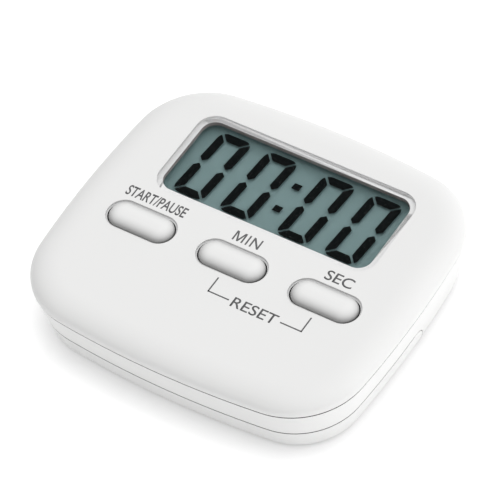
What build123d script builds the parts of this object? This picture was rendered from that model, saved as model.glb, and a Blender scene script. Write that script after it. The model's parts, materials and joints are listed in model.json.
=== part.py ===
from build123d import *
import math
import os

# Digital kitchen timer lying on its back, in millimetres.
# The origin is the centre of the footprint, on the plane it rests on.
# +X runs along the display digits, +Y towards the top of the display, +Z out of the face.

# Case outline: a rounded rectangle whose four sides bulge a little.
case_width = 76.0
case_depth = 67.35
long_side_radius = 218.0
short_side_radius = 215.0
corner_radius = 15.66

# Heights of the case, from the resting plane.
face_height = 16.0
cover_rim_height = 13.1
edge_round_in = 6.3
edge_round_down = 2.7
cover_skin = 1.5
cover_wall = 1.9
base_inset = 0.06
base_taper = 11.2
base_bottom_round = 2.2
base_wall = 1.4
floor = 1.5
seam_height = 0.28
seam_depth = 0.5

# The cover's locating tongue, inside the base's wall.
tongue_gap = 0.15
tongue_thickness = 0.8
tongue_depth = 0.9
collar_height = 0.5

# Display.
window_width = 48.16
window_height = 19.51
window_y = 14.16
window_corner = 3.0
bezel_ring = 1.18
bezel_depth = 0.55
lens_thickness = 0.5
lens_gap = 0.08
polariser = 0.2
glass = 0.55
glass_width = 51.0
glass_low_y = 1.7
glass_high_y = 26.5
contact_ledge = 2.8
lcd_gap = 0.05

# Keys.
key_x = {"start_pause": -21.22, "minute": 0.0, "second": 21.22}
key_y = -5.51
key_recess_length = 15.71
key_recess_width = 7.22
key_recess_depth = 0.45
key_length = 14.6
key_width = 6.2
key_clearance = 0.14
key_top = 16.95
key_top_round = 1.15
key_flange_extra = 1.0
key_flange_thickness = 0.85
key_travel = 0.75

# Circuit board and keypad.
board_top = 12.0
board_thickness = 1.2
board_half_width = 31.0
board_low_y = -15.0
board_high_y = 8.8
board_corner = 2.0
board_hole_radius = 1.0
mat_length = 56.0
mat_width = 9.4
mat_thickness = 0.5
dome_outer = 3.4
dome_top_radius = 2.0
dome_ceiling = 13.15
pill_radius = 1.4
pill_thickness = 0.3

# Fold-out stand.
pivot_y = 1.4
pivot_z = 2.2
stand_end_radius = 3.65
stand_height = 5.85
stand_gap = 0.18
stand_arm_inset = 5.2
stand_bar_y = -26.5
nail_slot_half = 7.0
nail_slot_depth = 1.2
nail_slot_height = 1.8
pin_radius = 1.0
pin_length = 1.3
pin_clearance = 0.06
hub_radius = 2.1
hub_length = 2.4

# Battery compartment, for one AAA cell lying along X.
cell_radius = 5.25
cell_length = 44.5
cell_y = 18.0
cell_z = 6.95
bay_half_length = 25.2
bay_half_width = 5.6
bay_roof = 12.35
bay_wall = 1.0
door_ledge = 0.4
door_gap = 0.15
latch_y = 16.4
latch_width = 5.0
latch_reach = 2.0
latch_slot = 0.6
latch_slot_length = 6.5
scoop_radius = 3.4
contact_half_width = 4.2
contact_span = (2.6, 11.4)
contact_thickness = 0.4
spring_wire = 0.28
spring_radius = 3.0

# Fasteners, buzzer and magnets.
case_screw_places = [(-27.0, -20.0), (27.0, -20.0), (-29.6, 22.6), (29.6, 22.6)]
board_screw_places = [(-28.6, -12.6), (28.6, -12.6), (-28.6, 3.6), (28.6, 3.6)]
post_radius = 2.7
post_top = 9.0
cover_boss_radius = 2.3
board_boss_radius = 1.7
cover_pilot_radius = 1.02
board_pilot_radius = 0.82
screw_well_radius = 2.0
screw_hole_radius = 1.15
screw_seat = 6.5
buzzer_y = -12.0
buzzer_radius = 10.0
buzzer_z = 3.0
buzzer_plate_thickness = 0.25
ceramic_radius = 7.2
ceramic_thickness = 0.2
buzzer_seat_wall = 1.2
buzzer_ledge = 1.4
buzzer_lip = 0.7
sound_hole_radius = 0.6
sound_ring_radius = 3.2
sound_ring_holes = 6
magnet_places = [(-19.0, -11.0), (19.0, -11.0)]
magnet_radius = 5.0
magnet_thickness = 1.4
magnet_pad = 1.0

# Parts soldered under the board: centres, and sizes along X, Y and Z.
capacitor_places = [(-1.5, 1.5), (3.0, 1.5), (18.0, 4.0)]
capacitor_size = (2.0, 1.25, 1.0)
resistor_places = [(-17.0, 6.0), (-17.0, 3.0), (11.0, 4.0), (14.0, 4.0)]
resistor_size = (1.6, 0.8, 0.5)
blob_place = (-9.0, 4.0)
blob_radius = 4.6
blob_height = 1.5
crystal_y = 5.5
crystal_radius = 1.0
crystal_span = (1.5, 7.5)
crystal_leg = 0.3
crystal_leg_reach = 1.65
coil_place = (13.5, -8.0)
coil_radius = 2.6
coil_flange_radius = 3.0
coil_flange = 0.6
coil_height = 4.0

# Insulated leads, each standing off what it is soldered to and rising to the board.
lead_radius = 0.45
lead_rise = 2.6
lead_shelf = 4.6
lead_side = 1.8
buzzer_lead_bend = 1.0
battery_lead_bend = 1.2

skin_under = face_height - cover_skin
board_under = board_top - board_thickness


def outline(inset, z=0.0):
    """Case outline moved inwards by inset, as a face at height z."""
    front_centre = case_depth / 2 - long_side_radius
    side_centre = case_width / 2 - short_side_radius
    # The corner arc's centre lies where it touches both bulging sides.
    a = long_side_radius - corner_radius
    b = short_side_radius - corner_radius
    span = math.hypot(side_centre, front_centre)
    along = (a * a - b * b + span * span) / (2 * span)
    off = math.sqrt(a * a - along * along)
    ux, uy = side_centre / span, -front_centre / span
    corner_x = ux * along + uy * off
    corner_y = front_centre + uy * along - ux * off
    angle_1 = math.atan2(corner_y - front_centre, corner_x)
    angle_2 = math.atan2(corner_y, corner_x - side_centre)
    long_r = long_side_radius - inset
    short_r = short_side_radius - inset
    small_r = corner_radius - inset
    x1 = long_r * math.cos(angle_1)
    y1 = front_centre + long_r * math.sin(angle_1)
    x2 = side_centre + short_r * math.cos(angle_2)
    y2 = short_r * math.sin(angle_2)
    middle = (angle_1 + angle_2) / 2
    xm = corner_x + small_r * math.cos(middle)
    ym = corner_y + small_r * math.sin(middle)
    top = case_depth / 2 - inset
    right = case_width / 2 - inset
    edges = [
        ThreePointArc((-x1, y1), (0, top), (x1, y1)),
        ThreePointArc((x1, y1), (xm, ym), (x2, y2)),
        ThreePointArc((x2, y2), (right, 0), (x2, -y2)),
        ThreePointArc((x2, -y2), (xm, -ym), (x1, -y1)),
        ThreePointArc((x1, -y1), (0, -top), (-x1, -y1)),
        ThreePointArc((-x1, -y1), (-xm, -ym), (-x2, -y2)),
        ThreePointArc((-x2, -y2), (-right, 0), (-x2, y2)),
        ThreePointArc((-x2, y2), (-xm, ym), (-x1, y1)),
    ]
    return Pos(0, 0, z) * make_face(Wire(edges))


def prism(face, low, high):
    """Upright prism of a face drawn at z=0."""
    return Pos(0, 0, low) * extrude(face, amount=high - low)


def block(x, y, z):
    """Box from three (low, high) spans."""
    size = [span[1] - span[0] for span in (x, y, z)]
    centre = [(span[0] + span[1]) / 2 for span in (x, y, z)]
    return Pos(*centre) * Box(*size)


def rod(radius, low, high, x=0.0, y=0.0):
    """Upright cylinder."""
    return Pos(x, y, (low + high) / 2) * Cylinder(radius, high - low)


def cross_rod(radius, x_low, x_high, y, z):
    """Cylinder along X."""
    return Pos((x_low + x_high) / 2, y, z) * Rot(0, 90, 0) * Cylinder(radius, x_high - x_low)


def rounded(width, height, radius, x=0.0, y=0.0):
    """Rounded rectangle face."""
    return Pos(x, y) * RectangleRounded(width, height, radius)


def pill(length, width, x=0.0, y=0.0):
    """Face with half-round ends."""
    return Pos(x, y) * SlotOverall(length, width)


def side_span(side, low, high):
    """The (low, high) span of X, mirrored to the left when side is -1."""
    return tuple(sorted((side * low, side * high)))


def group(solids, label):
    """Several separate solids in one named node."""
    return Compound(label=label, children=solids)


def save(shape, node):
    export_step(shape, f"parts/{node}.step")


# ---- front cover and display window ----

def cover_block():
    """Solid dish whose top edge rounds over in a quarter ellipse."""
    side = case_width / 2
    wall_top = face_height - edge_round_down
    reach = 8.5
    edge = [
        Line((side, cover_rim_height), (side, wall_top)),
        EllipticalCenterArc((side - edge_round_in, wall_top), edge_round_in, edge_round_down, arc_size=90),
        Line((side - edge_round_in, face_height), (side - reach, face_height)),
        Line((side - reach, face_height), (side - reach, cover_rim_height)),
        Line((side - reach, cover_rim_height), (side, cover_rim_height)),
    ]
    profile = Plane.XZ * make_face(Wire(edge))
    path = outline(0).wire()
    rim = sweep(sections=profile, path=path)
    core = prism(outline(reach - 1.0), cover_rim_height, face_height)
    return rim + core


def key_recess(x):
    """Shallow pill recess round a key, with the through hole in its floor."""
    rim = pill(key_recess_length, key_recess_width, x, key_y)
    ring = prism(rim, face_height - key_recess_depth, face_height + 1)
    length = key_length + 2 * key_clearance
    width = key_width + 2 * key_clearance
    hole = prism(pill(length, width, x, key_y), skin_under - 1, face_height + 1)
    return ring + hole


def front_cover():
    shell = cover_block()
    shell -= prism(outline(cover_wall), cover_rim_height - 1, skin_under)
    window = rounded(window_width, window_height, window_corner, 0, window_y)
    shell -= prism(window, skin_under - 1, face_height + 1)
    ring_width = window_width + 2 * bezel_ring
    ring_height = window_height + 2 * bezel_ring
    ring_corner = window_corner + bezel_ring
    recess = rounded(ring_width, ring_height, ring_corner, 0, window_y)
    shell -= prism(recess, face_height - bezel_depth, face_height + 1)
    for x in key_x.values():
        shell -= key_recess(x)
    bosses = []
    for x, y in case_screw_places:
        bosses.append(rod(cover_boss_radius, post_top + 0.05, skin_under + 0.3, x, y))
    for x, y in board_screw_places:
        bosses.append(rod(board_boss_radius, board_top, skin_under + 0.3, x, y))
    for boss in bosses:
        shell += boss
    # A locating tongue stands inside the back cover's wall.
    tongue_in = cover_wall + tongue_gap + tongue_thickness
    tongue = prism(outline(cover_wall + tongue_gap), cover_rim_height - tongue_depth, cover_rim_height + 0.2)
    tongue -= prism(outline(tongue_in), cover_rim_height - 2, cover_rim_height + 1)
    collar = prism(outline(cover_wall - 0.2), cover_rim_height, cover_rim_height + collar_height)
    collar -= prism(outline(tongue_in), cover_rim_height - 2, cover_rim_height + 1)
    shell += tongue
    shell += collar
    for x, y in case_screw_places:
        shell -= rod(cover_pilot_radius, post_top - 1, skin_under - 0.4, x, y)
    for x, y in board_screw_places:
        shell -= rod(board_pilot_radius, board_top - 1, skin_under - 0.3, x, y)
    return shell


def display_lens():
    inset = bezel_ring - lens_gap
    face = rounded(window_width + 2 * inset, window_height + 2 * inset, window_corner + inset, 0, window_y)
    low = face_height - bezel_depth
    return prism(face, low, low + lens_thickness)


# ---- liquid crystal display ----

def display_stack():
    """Polariser, two glasses and reflector, hung under the cover's skin."""
    middle = (glass_low_y + glass_high_y) / 2
    tall = glass_high_y - glass_low_y
    short = tall - contact_ledge
    short_middle = middle + contact_ledge / 2
    top = skin_under - lcd_gap
    levels = [top, top - polariser, top - polariser - glass, top - polariser - 2 * glass]
    bottom = levels[3] - polariser
    whole = rounded(glass_width, tall, 0.4, 0, middle)
    part = rounded(glass_width, short, 0.4, 0, short_middle)
    film = rounded(glass_width - 1.0, short - 0.6, 0.3, 0, short_middle)
    return {
        "lcd_front_polariser": prism(film, levels[1], levels[0]),
        "lcd_front_glass": prism(whole, levels[2], levels[1]),
        "lcd_rear_glass": prism(part, levels[3], levels[2]),
        "lcd_rear_reflector": prism(film, bottom, levels[3]),
    }


def lcd_frame():
    """Picture frame that holds the glass sideways, standing on the circuit board by two feet."""
    middle = (glass_low_y + glass_high_y) / 2
    tall = glass_high_y - glass_low_y
    top = skin_under - lcd_gap
    low = board_top + 0.9
    frame_body = prism(rounded(glass_width + 2.2, tall + 2.2, 1.2, 0, middle), low, top)
    frame_body -= prism(rounded(glass_width + 0.2, tall + 0.2, 0.5, 0, middle), low - 1, top + 1)
    half = glass_width / 2
    for side in (-1, 1):
        feet = side_span(side, half - 0.5, half + 1.1)
        frame_body += block(feet, (glass_low_y + 0.3, board_high_y - 0.3), (board_top, low + 0.05))
    return frame_body


def zebra_strip():
    """Elastomer bar joining the glass ledge to the circuit board."""
    top = skin_under - lcd_gap - polariser - glass
    return block((-23.5, 23.5), (glass_low_y + 0.3, glass_low_y + 2.3), (board_top, top))


# ---- keys and keypad ----

def key_cap(x):
    """Pillow-topped key with a flange that stops it under the cover's skin."""
    flange_top = skin_under - 0.05
    flange_low = flange_top - key_flange_thickness
    stem = prism(pill(key_length, key_width, x, key_y), flange_low, key_top)
    top_edges = stem.faces().sort_by(Axis.Z)[-1].edges()
    stem = fillet(top_edges, key_top_round)
    rim = pill(key_length + 2 * key_flange_extra, key_width + 2 * key_flange_extra, x, key_y)
    return stem + prism(rim, flange_low, flange_top)


def keypad_mat():
    mat = prism(rounded(mat_length, mat_width, 1.5, 0, key_y), board_top, board_top + mat_thickness)
    for x in key_x.values():
        mat -= rod(dome_outer - 0.4, board_top - 1, board_top + 1, x, key_y)
    return mat


def keypad_dome(x):
    """Collapsing silicone cone with a solid plunger on top."""
    low = board_top + mat_thickness
    high = skin_under - 0.05 - key_flange_thickness
    half_section = make_face(Polyline(
        (dome_outer, low), (dome_top_radius + 0.3, dome_ceiling), (dome_top_radius, high), (0, high),
        (0, dome_ceiling), (dome_top_radius - 0.25, dome_ceiling), (dome_outer - 0.4, low), (dome_outer, low),
    ))
    cone = revolve(Plane.XZ * half_section, Axis.Z)
    return Pos(x, key_y, 0) * cone


def contact_pill(x):
    return rod(pill_radius, dome_ceiling - pill_thickness, dome_ceiling, x, key_y)


# ---- circuit board and what is soldered to it ----

def circuit_board():
    middle = (board_low_y + board_high_y) / 2
    plate = rounded(2 * board_half_width, board_high_y - board_low_y, board_corner, 0, middle)
    board = prism(plate, board_under, board_top)
    for x, y in board_screw_places:
        board -= rod(board_hole_radius, board_under - 1, board_top + 1, x, y)
    return board


def controller_blob():
    """Low dome of epoxy over the bonded chip, under the board."""
    x, y = blob_place
    sphere_radius = (blob_radius * blob_radius + blob_height * blob_height) / (2 * blob_height)
    ball = Pos(x, y, board_under - blob_height + sphere_radius) * Sphere(sphere_radius)
    reach = blob_radius + 2
    return ball & block((x - reach, x + reach), (y - reach, y + reach), (board_under - 3, board_under))


def timing_crystal():
    """Small can lying under the board, with two legs bent up to it."""
    middle_z = board_under - crystal_radius - 0.05
    can = cross_rod(crystal_radius, *crystal_span, crystal_y, middle_z)
    half = crystal_leg / 2
    end = crystal_span[1] + crystal_leg_reach
    for side in (-1, 1):
        y = crystal_y + side * 0.45
        leg = (y - half, y + half)
        can += block((crystal_span[1] - 0.5, end), leg, (middle_z - half, middle_z + half))
        can += block((end - crystal_leg, end), leg, (middle_z - half, board_under))
    return can


def small_parts(places, size, label):
    """Surface-mounted chips hanging under the board."""
    half_x = size[0] / 2
    half_y = size[1] / 2
    low = board_under - size[2]
    chips = [block((x - half_x, x + half_x), (y - half_y, y + half_y), (low, board_under)) for x, y in places]
    return group(chips, label)


def buzzer_coil():
    low = board_under - coil_height
    coil = rod(coil_radius, low + 0.1, board_under - 0.1, *coil_place)
    coil += rod(coil_flange_radius, board_under - coil_flange, board_under, *coil_place)
    coil += rod(coil_flange_radius, low, low + coil_flange, *coil_place)
    return coil


# ---- back cover, stand and door ----

def base_block():
    """The lower case as one tapered solid with a rounded bottom edge."""
    flat = Pos(0, 0, cover_rim_height) * outline(base_inset)
    solid = extrude(flat, amount=cover_rim_height, dir=(0, 0, -1), taper=base_taper)
    bottom = solid.faces().sort_by(Axis.Z)[0]
    return fillet(bottom.edges(), base_bottom_round)


def stand_space(extra):
    """Room swept by the stand: the lower front of the case plus the round arm ends."""
    front = block((-45, 45), (-45, pivot_y), (-5, stand_height + extra))
    ends = cross_rod(stand_end_radius + extra, -45, 45, pivot_y, pivot_z)
    return front + ends


def stand_inside(inset):
    """Prism of the case between the stand's arms and behind its front bar."""
    offset = inset - stand_arm_inset
    whole = prism(outline(inset), -5, 12)
    return whole & block((-45, 45), (stand_bar_y + offset, 45), (-5, 12))


def stand():
    frame_body = base_block() & stand_space(0)
    frame_body -= stand_inside(stand_arm_inset)
    half = case_width / 2 - stand_arm_inset
    for side in (-1, 1):
        pin = side_span(side, half - pin_length, half + 1.0)
        frame_body += cross_rod(pin_radius, *pin, pivot_y, pivot_z)
    # A nail recess along the inner face of the bar.
    slot_y = (stand_bar_y - nail_slot_depth, stand_bar_y + 1)
    frame_body -= block((-nail_slot_half, nail_slot_half), slot_y, (-1, nail_slot_height))
    return frame_body


def battery_bay(extra, low, high):
    length = 2 * (bay_half_length + extra)
    width = 2 * (bay_half_width + extra)
    return prism(rounded(length, width, 0.6, 0, cell_y), low, high)


def door_opening(gap):
    length = 2 * (bay_half_length + door_ledge - gap)
    width = 2 * (bay_half_width + door_ledge - gap)
    return prism(rounded(length, width, 1.0, 0, cell_y), -1, floor)


def latch_notch(gap):
    """Notch beside the battery door for its latch tongue, open to below."""
    end = bay_half_length + door_ledge
    half = latch_width / 2 - gap
    return block((end - 1.5, end + latch_reach - gap), (latch_y - half, latch_y + half), (-1, floor))


def back_cover():
    shell = base_block()
    shell -= stand_space(stand_gap) - stand_inside(stand_arm_inset + stand_gap)
    inside = Pos(0, 0, cover_rim_height) * outline(base_inset + base_wall)
    cavity = extrude(inside, amount=cover_rim_height - floor, dir=(0, 0, -1), taper=base_taper)
    shield = stand_space(base_wall) - stand_inside(stand_arm_inset + stand_gap + base_wall)
    cavity -= shield
    shell -= cavity
    # A shadow groove under the cover's rim.
    groove = (cover_rim_height - seam_height, cover_rim_height + 1)
    shell -= prism(outline(-1), *groove) - prism(outline(base_inset + seam_depth), *groove)
    # Screw posts, battery bay, buzzer seat and magnet pads.
    for x, y in case_screw_places:
        shell += rod(post_radius, floor - 0.3, post_top, x, y)
    shell += battery_bay(bay_wall, floor - 0.3, bay_roof + 0.5)
    shell -= battery_bay(0, floor - 1, bay_roof)
    shell -= door_opening(0)
    shell -= latch_notch(0)
    seat = rod(buzzer_radius + buzzer_seat_wall, floor - 0.3, buzzer_z + buzzer_lip, 0, buzzer_y)
    seat -= rod(buzzer_radius + 0.1, buzzer_z, buzzer_z + 2, 0, buzzer_y)
    seat -= rod(buzzer_radius - buzzer_ledge, 0, buzzer_z + 2, 0, buzzer_y)
    shell += seat
    for x, y in magnet_places:
        shell += rod(magnet_radius + magnet_pad, floor - 0.3, magnet_thickness + magnet_pad, x, y)
        shell -= rod(magnet_radius + 0.05, -1, magnet_thickness, x, y)
    for x, y in case_screw_places:
        shell -= rod(screw_well_radius, -1, screw_seat, x, y)
        shell -= rod(screw_hole_radius, -1, post_top + 1, x, y)
    # Sound holes under the buzzer.
    shell -= rod(sound_hole_radius, -1, floor + 1, 0, buzzer_y)
    for turn in range(sound_ring_holes):
        angle = math.tau * turn / sound_ring_holes
        x = sound_ring_radius * math.cos(angle)
        y = buzzer_y + sound_ring_radius * math.sin(angle)
        shell -= rod(sound_hole_radius, -1, floor + 1, x, y)
    # Bearings for the stand's pins.
    wall_face = case_width / 2 - stand_arm_inset - stand_gap
    for side in (-1, 1):
        hub = side_span(side, wall_face - hub_length, wall_face - 0.1)
        bore = side_span(side, wall_face - pin_length, wall_face + 1.0)
        shell += cross_rod(hub_radius, *hub, pivot_y, pivot_z)
        shell -= cross_rod(pin_radius + pin_clearance, *bore, pivot_y, pivot_z)
    return shell


def battery_door():
    door = door_opening(door_gap) & block((-45, 45), (0, 45), (0.05, floor - 0.05))
    tongue = latch_notch(door_gap) & block((-45, 45), (0, 45), (0.05, floor - 0.05))
    door += tongue
    # A slot each side of the tongue lets it flex, and a scoop takes a fingernail.
    end = bay_half_length + door_ledge
    for side in (-1, 1):
        y = latch_y + side * (latch_width + latch_slot) / 2
        slot_y = (y - latch_slot / 2, y + latch_slot / 2)
        door -= block((end - latch_slot_length, end + 1), slot_y, (-1, floor + 1))
    scoop = Rot(90, 0, 0) * Cylinder(scoop_radius, latch_width - 1.2)
    door -= Pos(end - 2.6, latch_y, 0.8 - scoop_radius) * scoop
    return door


# ---- battery and its contacts ----

def battery():
    """AAA cell with its positive nub at the low-X end."""
    body_length = cell_length - 1.0
    low = -bay_half_length + 0.5
    can = cross_rod(cell_radius, low + 1.0, low + 1.0 + body_length, cell_y, cell_z)
    can = fillet(can.edges().filter_by(GeomType.CIRCLE), 0.4)
    return can + cross_rod(1.9, low, low + 1.2, cell_y, cell_z)


def contact(side):
    """Nickelled plate against one end of the battery bay."""
    x = side_span(side, bay_half_length - contact_thickness, bay_half_length)
    return block(x, (cell_y - contact_half_width, cell_y + contact_half_width), contact_span)


def battery_spring():
    """Conical-end compression spring between its plate and the cell's flat end."""
    end = -bay_half_length + 0.5 + cell_length + 0.02
    room = bay_half_length - contact_thickness - end - 0.02
    height = room - 2 * spring_wire
    path = Helix(pitch=height / 3, height=height, radius=spring_radius)
    profile = Plane(origin=path @ 0, z_dir=path % 0) * Circle(spring_wire)
    coil = sweep(sections=profile, path=path)
    return Pos(end + spring_wire, cell_y, cell_z) * Rot(0, 90, 0) * coil


# ---- sound, magnets and fasteners ----

def buzzer_plate():
    return rod(buzzer_radius, buzzer_z, buzzer_z + buzzer_plate_thickness, 0, buzzer_y)


def buzzer_ceramic():
    low = buzzer_z + buzzer_plate_thickness
    return rod(ceramic_radius, low, low + ceramic_thickness, 0, buzzer_y)


def lead(points, bends):
    """Insulated wire along straight runs joined by tangent arcs."""
    path = FilletPolyline(*points, radius=bends)
    profile = Plane(origin=path @ 0, z_dir=path % 0) * Circle(lead_radius)
    return sweep(sections=profile, path=path)


def screw(head_radius, head_height, shank_radius, seat, tip, x, y):
    """Pan-head self-tapping screw driven upwards, with a cross recess under its head."""
    head = rod(head_radius, seat - head_height, seat, x, y)
    head = fillet(head.faces().sort_by(Axis.Z)[0].edges(), head_height * 0.45)
    shank = rod(shank_radius, seat - 0.1, tip - shank_radius, x, y)
    point = Pos(x, y, tip - shank_radius / 2) * Cone(shank_radius, shank_radius * 0.25, shank_radius)
    whole = head + shank + point
    arm = head_radius * 0.62
    low = seat - head_height - 1
    deep = seat - head_height * 0.35
    whole -= block((x - arm, x + arm), (y - 0.2, y + 0.2), (low, deep))
    whole -= block((x - 0.2, x + 0.2), (y - arm, y + arm), (low, deep))
    return whole


def case_screws():
    screws = [screw(1.85, 1.3, 1.0, screw_seat, skin_under - 1.0, x, y) for x, y in case_screw_places]
    return group(screws, "case_screws")


def board_screws():
    screws = [screw(1.5, 0.9, 0.8, board_under, skin_under - 0.6, x, y) for x, y in board_screw_places]
    return group(screws, "board_screws")


def back_magnets():
    discs = [rod(magnet_radius, 0.05, magnet_thickness, x, y) for x, y in magnet_places]
    return group(discs, "back_magnets")


def buzzer_lead(x_low, x_top, z_low):
    """Lead from the buzzer disc up to the board."""
    y_top = buzzer_y + 3
    shelf = buzzer_z + lead_shelf
    route = [(x_low, buzzer_y, z_low), (x_low, buzzer_y, buzzer_z + lead_rise), (x_top, y_top, shelf)]
    return lead(route + [(x_top, y_top, board_under)], buzzer_lead_bend)


def battery_lead(side):
    """Lead from one end wall of the battery bay, round its corner and up to the board."""
    x_wall = side * (bay_half_length + bay_wall)
    x_out = x_wall + side * lead_side
    y_wall = cell_y - 2
    y_board = 6.5
    z_wall = 9.0
    z_low = 8.0
    route = [(x_wall, y_wall, z_wall), (x_out, y_wall, z_wall), (x_out, y_board, z_low)]
    return lead(route + [(x_out, y_board, board_under)], battery_lead_bend)


def main():
    os.makedirs("parts", exist_ok=True)
    save(front_cover(), "front_cover")
    save(display_lens(), "display_lens")
    for node, layer in display_stack().items():
        save(layer, node)
    save(lcd_frame(), "lcd_frame")
    save(zebra_strip(), "zebra_strip")
    for name, x in key_x.items():
        save(key_cap(x), f"{name}_key")
        save(keypad_dome(x), f"{name}_dome")
        save(contact_pill(x), f"{name}_contact_pill")
    save(keypad_mat(), "keypad_mat")
    save(circuit_board(), "circuit_board")
    save(controller_blob(), "controller_blob")
    save(timing_crystal(), "timing_crystal")
    save(small_parts(capacitor_places, capacitor_size, "capacitors"), "capacitors")
    save(small_parts(resistor_places, resistor_size, "resistors"), "resistors")
    save(buzzer_coil(), "buzzer_coil")
    save(back_cover(), "back_cover")
    save(stand(), "stand")
    save(battery_door(), "battery_door")
    save(battery(), "battery")
    save(contact(-1), "battery_contact_plate")
    save(contact(1), "battery_spring_plate")
    save(battery_spring(), "battery_spring")
    save(buzzer_plate(), "buzzer_plate")
    save(buzzer_ceramic(), "buzzer_ceramic")
    ceramic_top = buzzer_z + buzzer_plate_thickness + ceramic_thickness
    save(buzzer_lead(0.0, 3.5, ceramic_top), "buzzer_lead_red")
    save(buzzer_lead(-8.6, -6.0, buzzer_z + buzzer_plate_thickness), "buzzer_lead_black")
    save(battery_lead(-1), "battery_lead_red")
    save(battery_lead(1), "battery_lead_black")
    save(case_screws(), "case_screws")
    save(board_screws(), "board_screws")
    save(back_magnets(), "back_magnets")


main()
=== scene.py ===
# Digital kitchen timer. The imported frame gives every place, and this script makes the pieces that are seen.
import bpy
import bmesh
import json
import math
from mathutils import Matrix, Vector


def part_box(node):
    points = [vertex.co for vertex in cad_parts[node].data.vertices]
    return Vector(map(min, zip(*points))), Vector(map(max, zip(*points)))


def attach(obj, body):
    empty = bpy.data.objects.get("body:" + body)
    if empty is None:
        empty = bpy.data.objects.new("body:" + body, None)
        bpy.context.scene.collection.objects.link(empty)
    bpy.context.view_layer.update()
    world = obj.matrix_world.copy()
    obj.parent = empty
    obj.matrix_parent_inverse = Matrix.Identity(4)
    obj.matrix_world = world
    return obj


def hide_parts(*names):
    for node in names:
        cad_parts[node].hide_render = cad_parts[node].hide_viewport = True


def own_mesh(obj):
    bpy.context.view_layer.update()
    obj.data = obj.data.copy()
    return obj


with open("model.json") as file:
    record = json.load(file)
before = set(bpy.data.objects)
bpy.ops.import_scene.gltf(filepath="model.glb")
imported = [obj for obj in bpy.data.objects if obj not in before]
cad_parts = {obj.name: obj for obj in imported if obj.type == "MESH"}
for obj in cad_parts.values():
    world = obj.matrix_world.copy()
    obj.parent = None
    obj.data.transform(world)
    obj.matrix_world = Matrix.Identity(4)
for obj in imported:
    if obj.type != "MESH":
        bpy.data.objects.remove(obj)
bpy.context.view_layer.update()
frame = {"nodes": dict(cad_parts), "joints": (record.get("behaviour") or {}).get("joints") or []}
mm = 0.001


def boxMm(node):
    low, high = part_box(node)
    return low / mm, high / mm


def arcLoop(arcs):  # arcs: (centre x, centre y, radius, first degree, last degree, steps), joined in order
    loop = []
    for cx, cy, radius, first, last, steps in arcs:
        for i in range(steps + 1):
            a = math.radians(first + (last - first) * i / steps)
            loop.append((cx, cy, radius, math.cos(a), math.sin(a)))
    return loop


def roundLoop(radius, x=0.0, y=0.0, steps=48):
    return arcLoop([(x, y, radius, 0, 360 - 360 / steps, steps - 1)])


def rectLoop(width, height, corner, x=0.0, y=0.0, steps=10):
    dx, dy = width / 2 - corner, height / 2 - corner
    return arcLoop([
        (x + dx, y + dy, corner, 0, 90, steps), (x - dx, y + dy, corner, 90, 180, steps),
        (x - dx, y - dy, corner, 180, 270, steps), (x + dx, y - dy, corner, 270, 360, steps),
    ])


def pillLoop(length, width, x=0.0, y=0.0, steps=28):
    r = width / 2
    dx = length / 2 - r
    return arcLoop([(x + dx, y, r, -90, 90, steps), (x - dx, y, r, 90, 270, steps)])


def ringAt(loop, inset, z):
    spots = [(cx + (r - inset) * c, cy + (r - inset) * s) for cx, cy, r, c, s in loop]
    return [Vector((x * mm, y * mm, z * mm)) for x, y in spots]


def meshPiece(name, bm):
    mesh = bpy.data.meshes.new(name)
    bm.to_mesh(mesh)
    bm.free()
    piece = bpy.data.objects.new(name, mesh)
    bpy.context.scene.collection.objects.link(piece)
    return piece


def skin(name, loop, profile, closed=False):
    # Rings of the loop at each (inset, z) of the profile, capped at both ends, or joined round when closed.
    bm = bmesh.new()
    rings = [[bm.verts.new(p) for p in ringAt(loop, inset, z)] for inset, z in profile]
    count = len(loop)
    pairs = list(zip(rings, rings[1:]))
    if closed:
        pairs.append((rings[-1], rings[0]))
    for low, high in pairs:
        for i in range(count):
            j = (i + 1) % count
            bm.faces.new((low[i], low[j], high[j], high[i]))
    if not closed:
        bm.faces.new(rings[0])
        bm.faces.new(rings[-1])
    bmesh.ops.recalc_face_normals(bm, faces=bm.faces)
    return meshPiece(name, bm)


def boxPiece(name, xSpan, ySpan, zSpan):
    bm = bmesh.new()
    bmesh.ops.create_cube(bm, size=1.0)
    for v in bm.verts:
        for axis, span in enumerate((xSpan, ySpan, zSpan)):
            v.co[axis] = (span[0] if v.co[axis] < 0 else span[1]) * mm
    return meshPiece(name, bm)


def barPiece(name, points, xSpan):  # a polygon in Y and Z drawn along X
    bm = bmesh.new()
    ends = [[bm.verts.new((x * mm, y * mm, z * mm)) for y, z in points] for x in xSpan]
    for i in range(len(points)):
        j = (i + 1) % len(points)
        bm.faces.new((ends[0][i], ends[0][j], ends[1][j], ends[1][i]))
    bm.faces.new(ends[0])
    bm.faces.new(ends[1])
    bmesh.ops.recalc_face_normals(bm, faces=bm.faces)
    return meshPiece(name, bm)


def bake(piece):  # the modifiers' result becomes the piece's plain mesh
    graph = bpy.context.evaluated_depsgraph_get()
    mesh = bpy.data.meshes.new_from_object(piece.evaluated_get(graph))
    piece.modifiers.clear()
    piece.data = mesh
    return piece


def combine(piece, others, operation):
    for other in others:
        cut = piece.modifiers.new("combine", "BOOLEAN")
        cut.object = other
        cut.operation = operation
        cut.solver = "EXACT"
        bake(piece)
        bpy.data.objects.remove(other)
    return piece


def carve(piece, *others):
    return combine(piece, others, "DIFFERENCE")


def fuse(piece, *others):
    return combine(piece, others, "UNION")


def keep(piece, *others):
    return combine(piece, others, "INTERSECT")


def roundedHole(name, loop, low, top, edge):
    # A cutter whose mouth flares, so the hole's edge comes out rounded.
    profile = [(0, low), (0, top - edge)]
    for i in range(1, 5):
        a = math.radians(90 * i / 4)
        profile.append((-edge + edge * math.cos(a), top - edge + edge * math.sin(a)))
    profile.append((-edge, top + 1.5))
    return skin(name, loop, profile)


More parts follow.
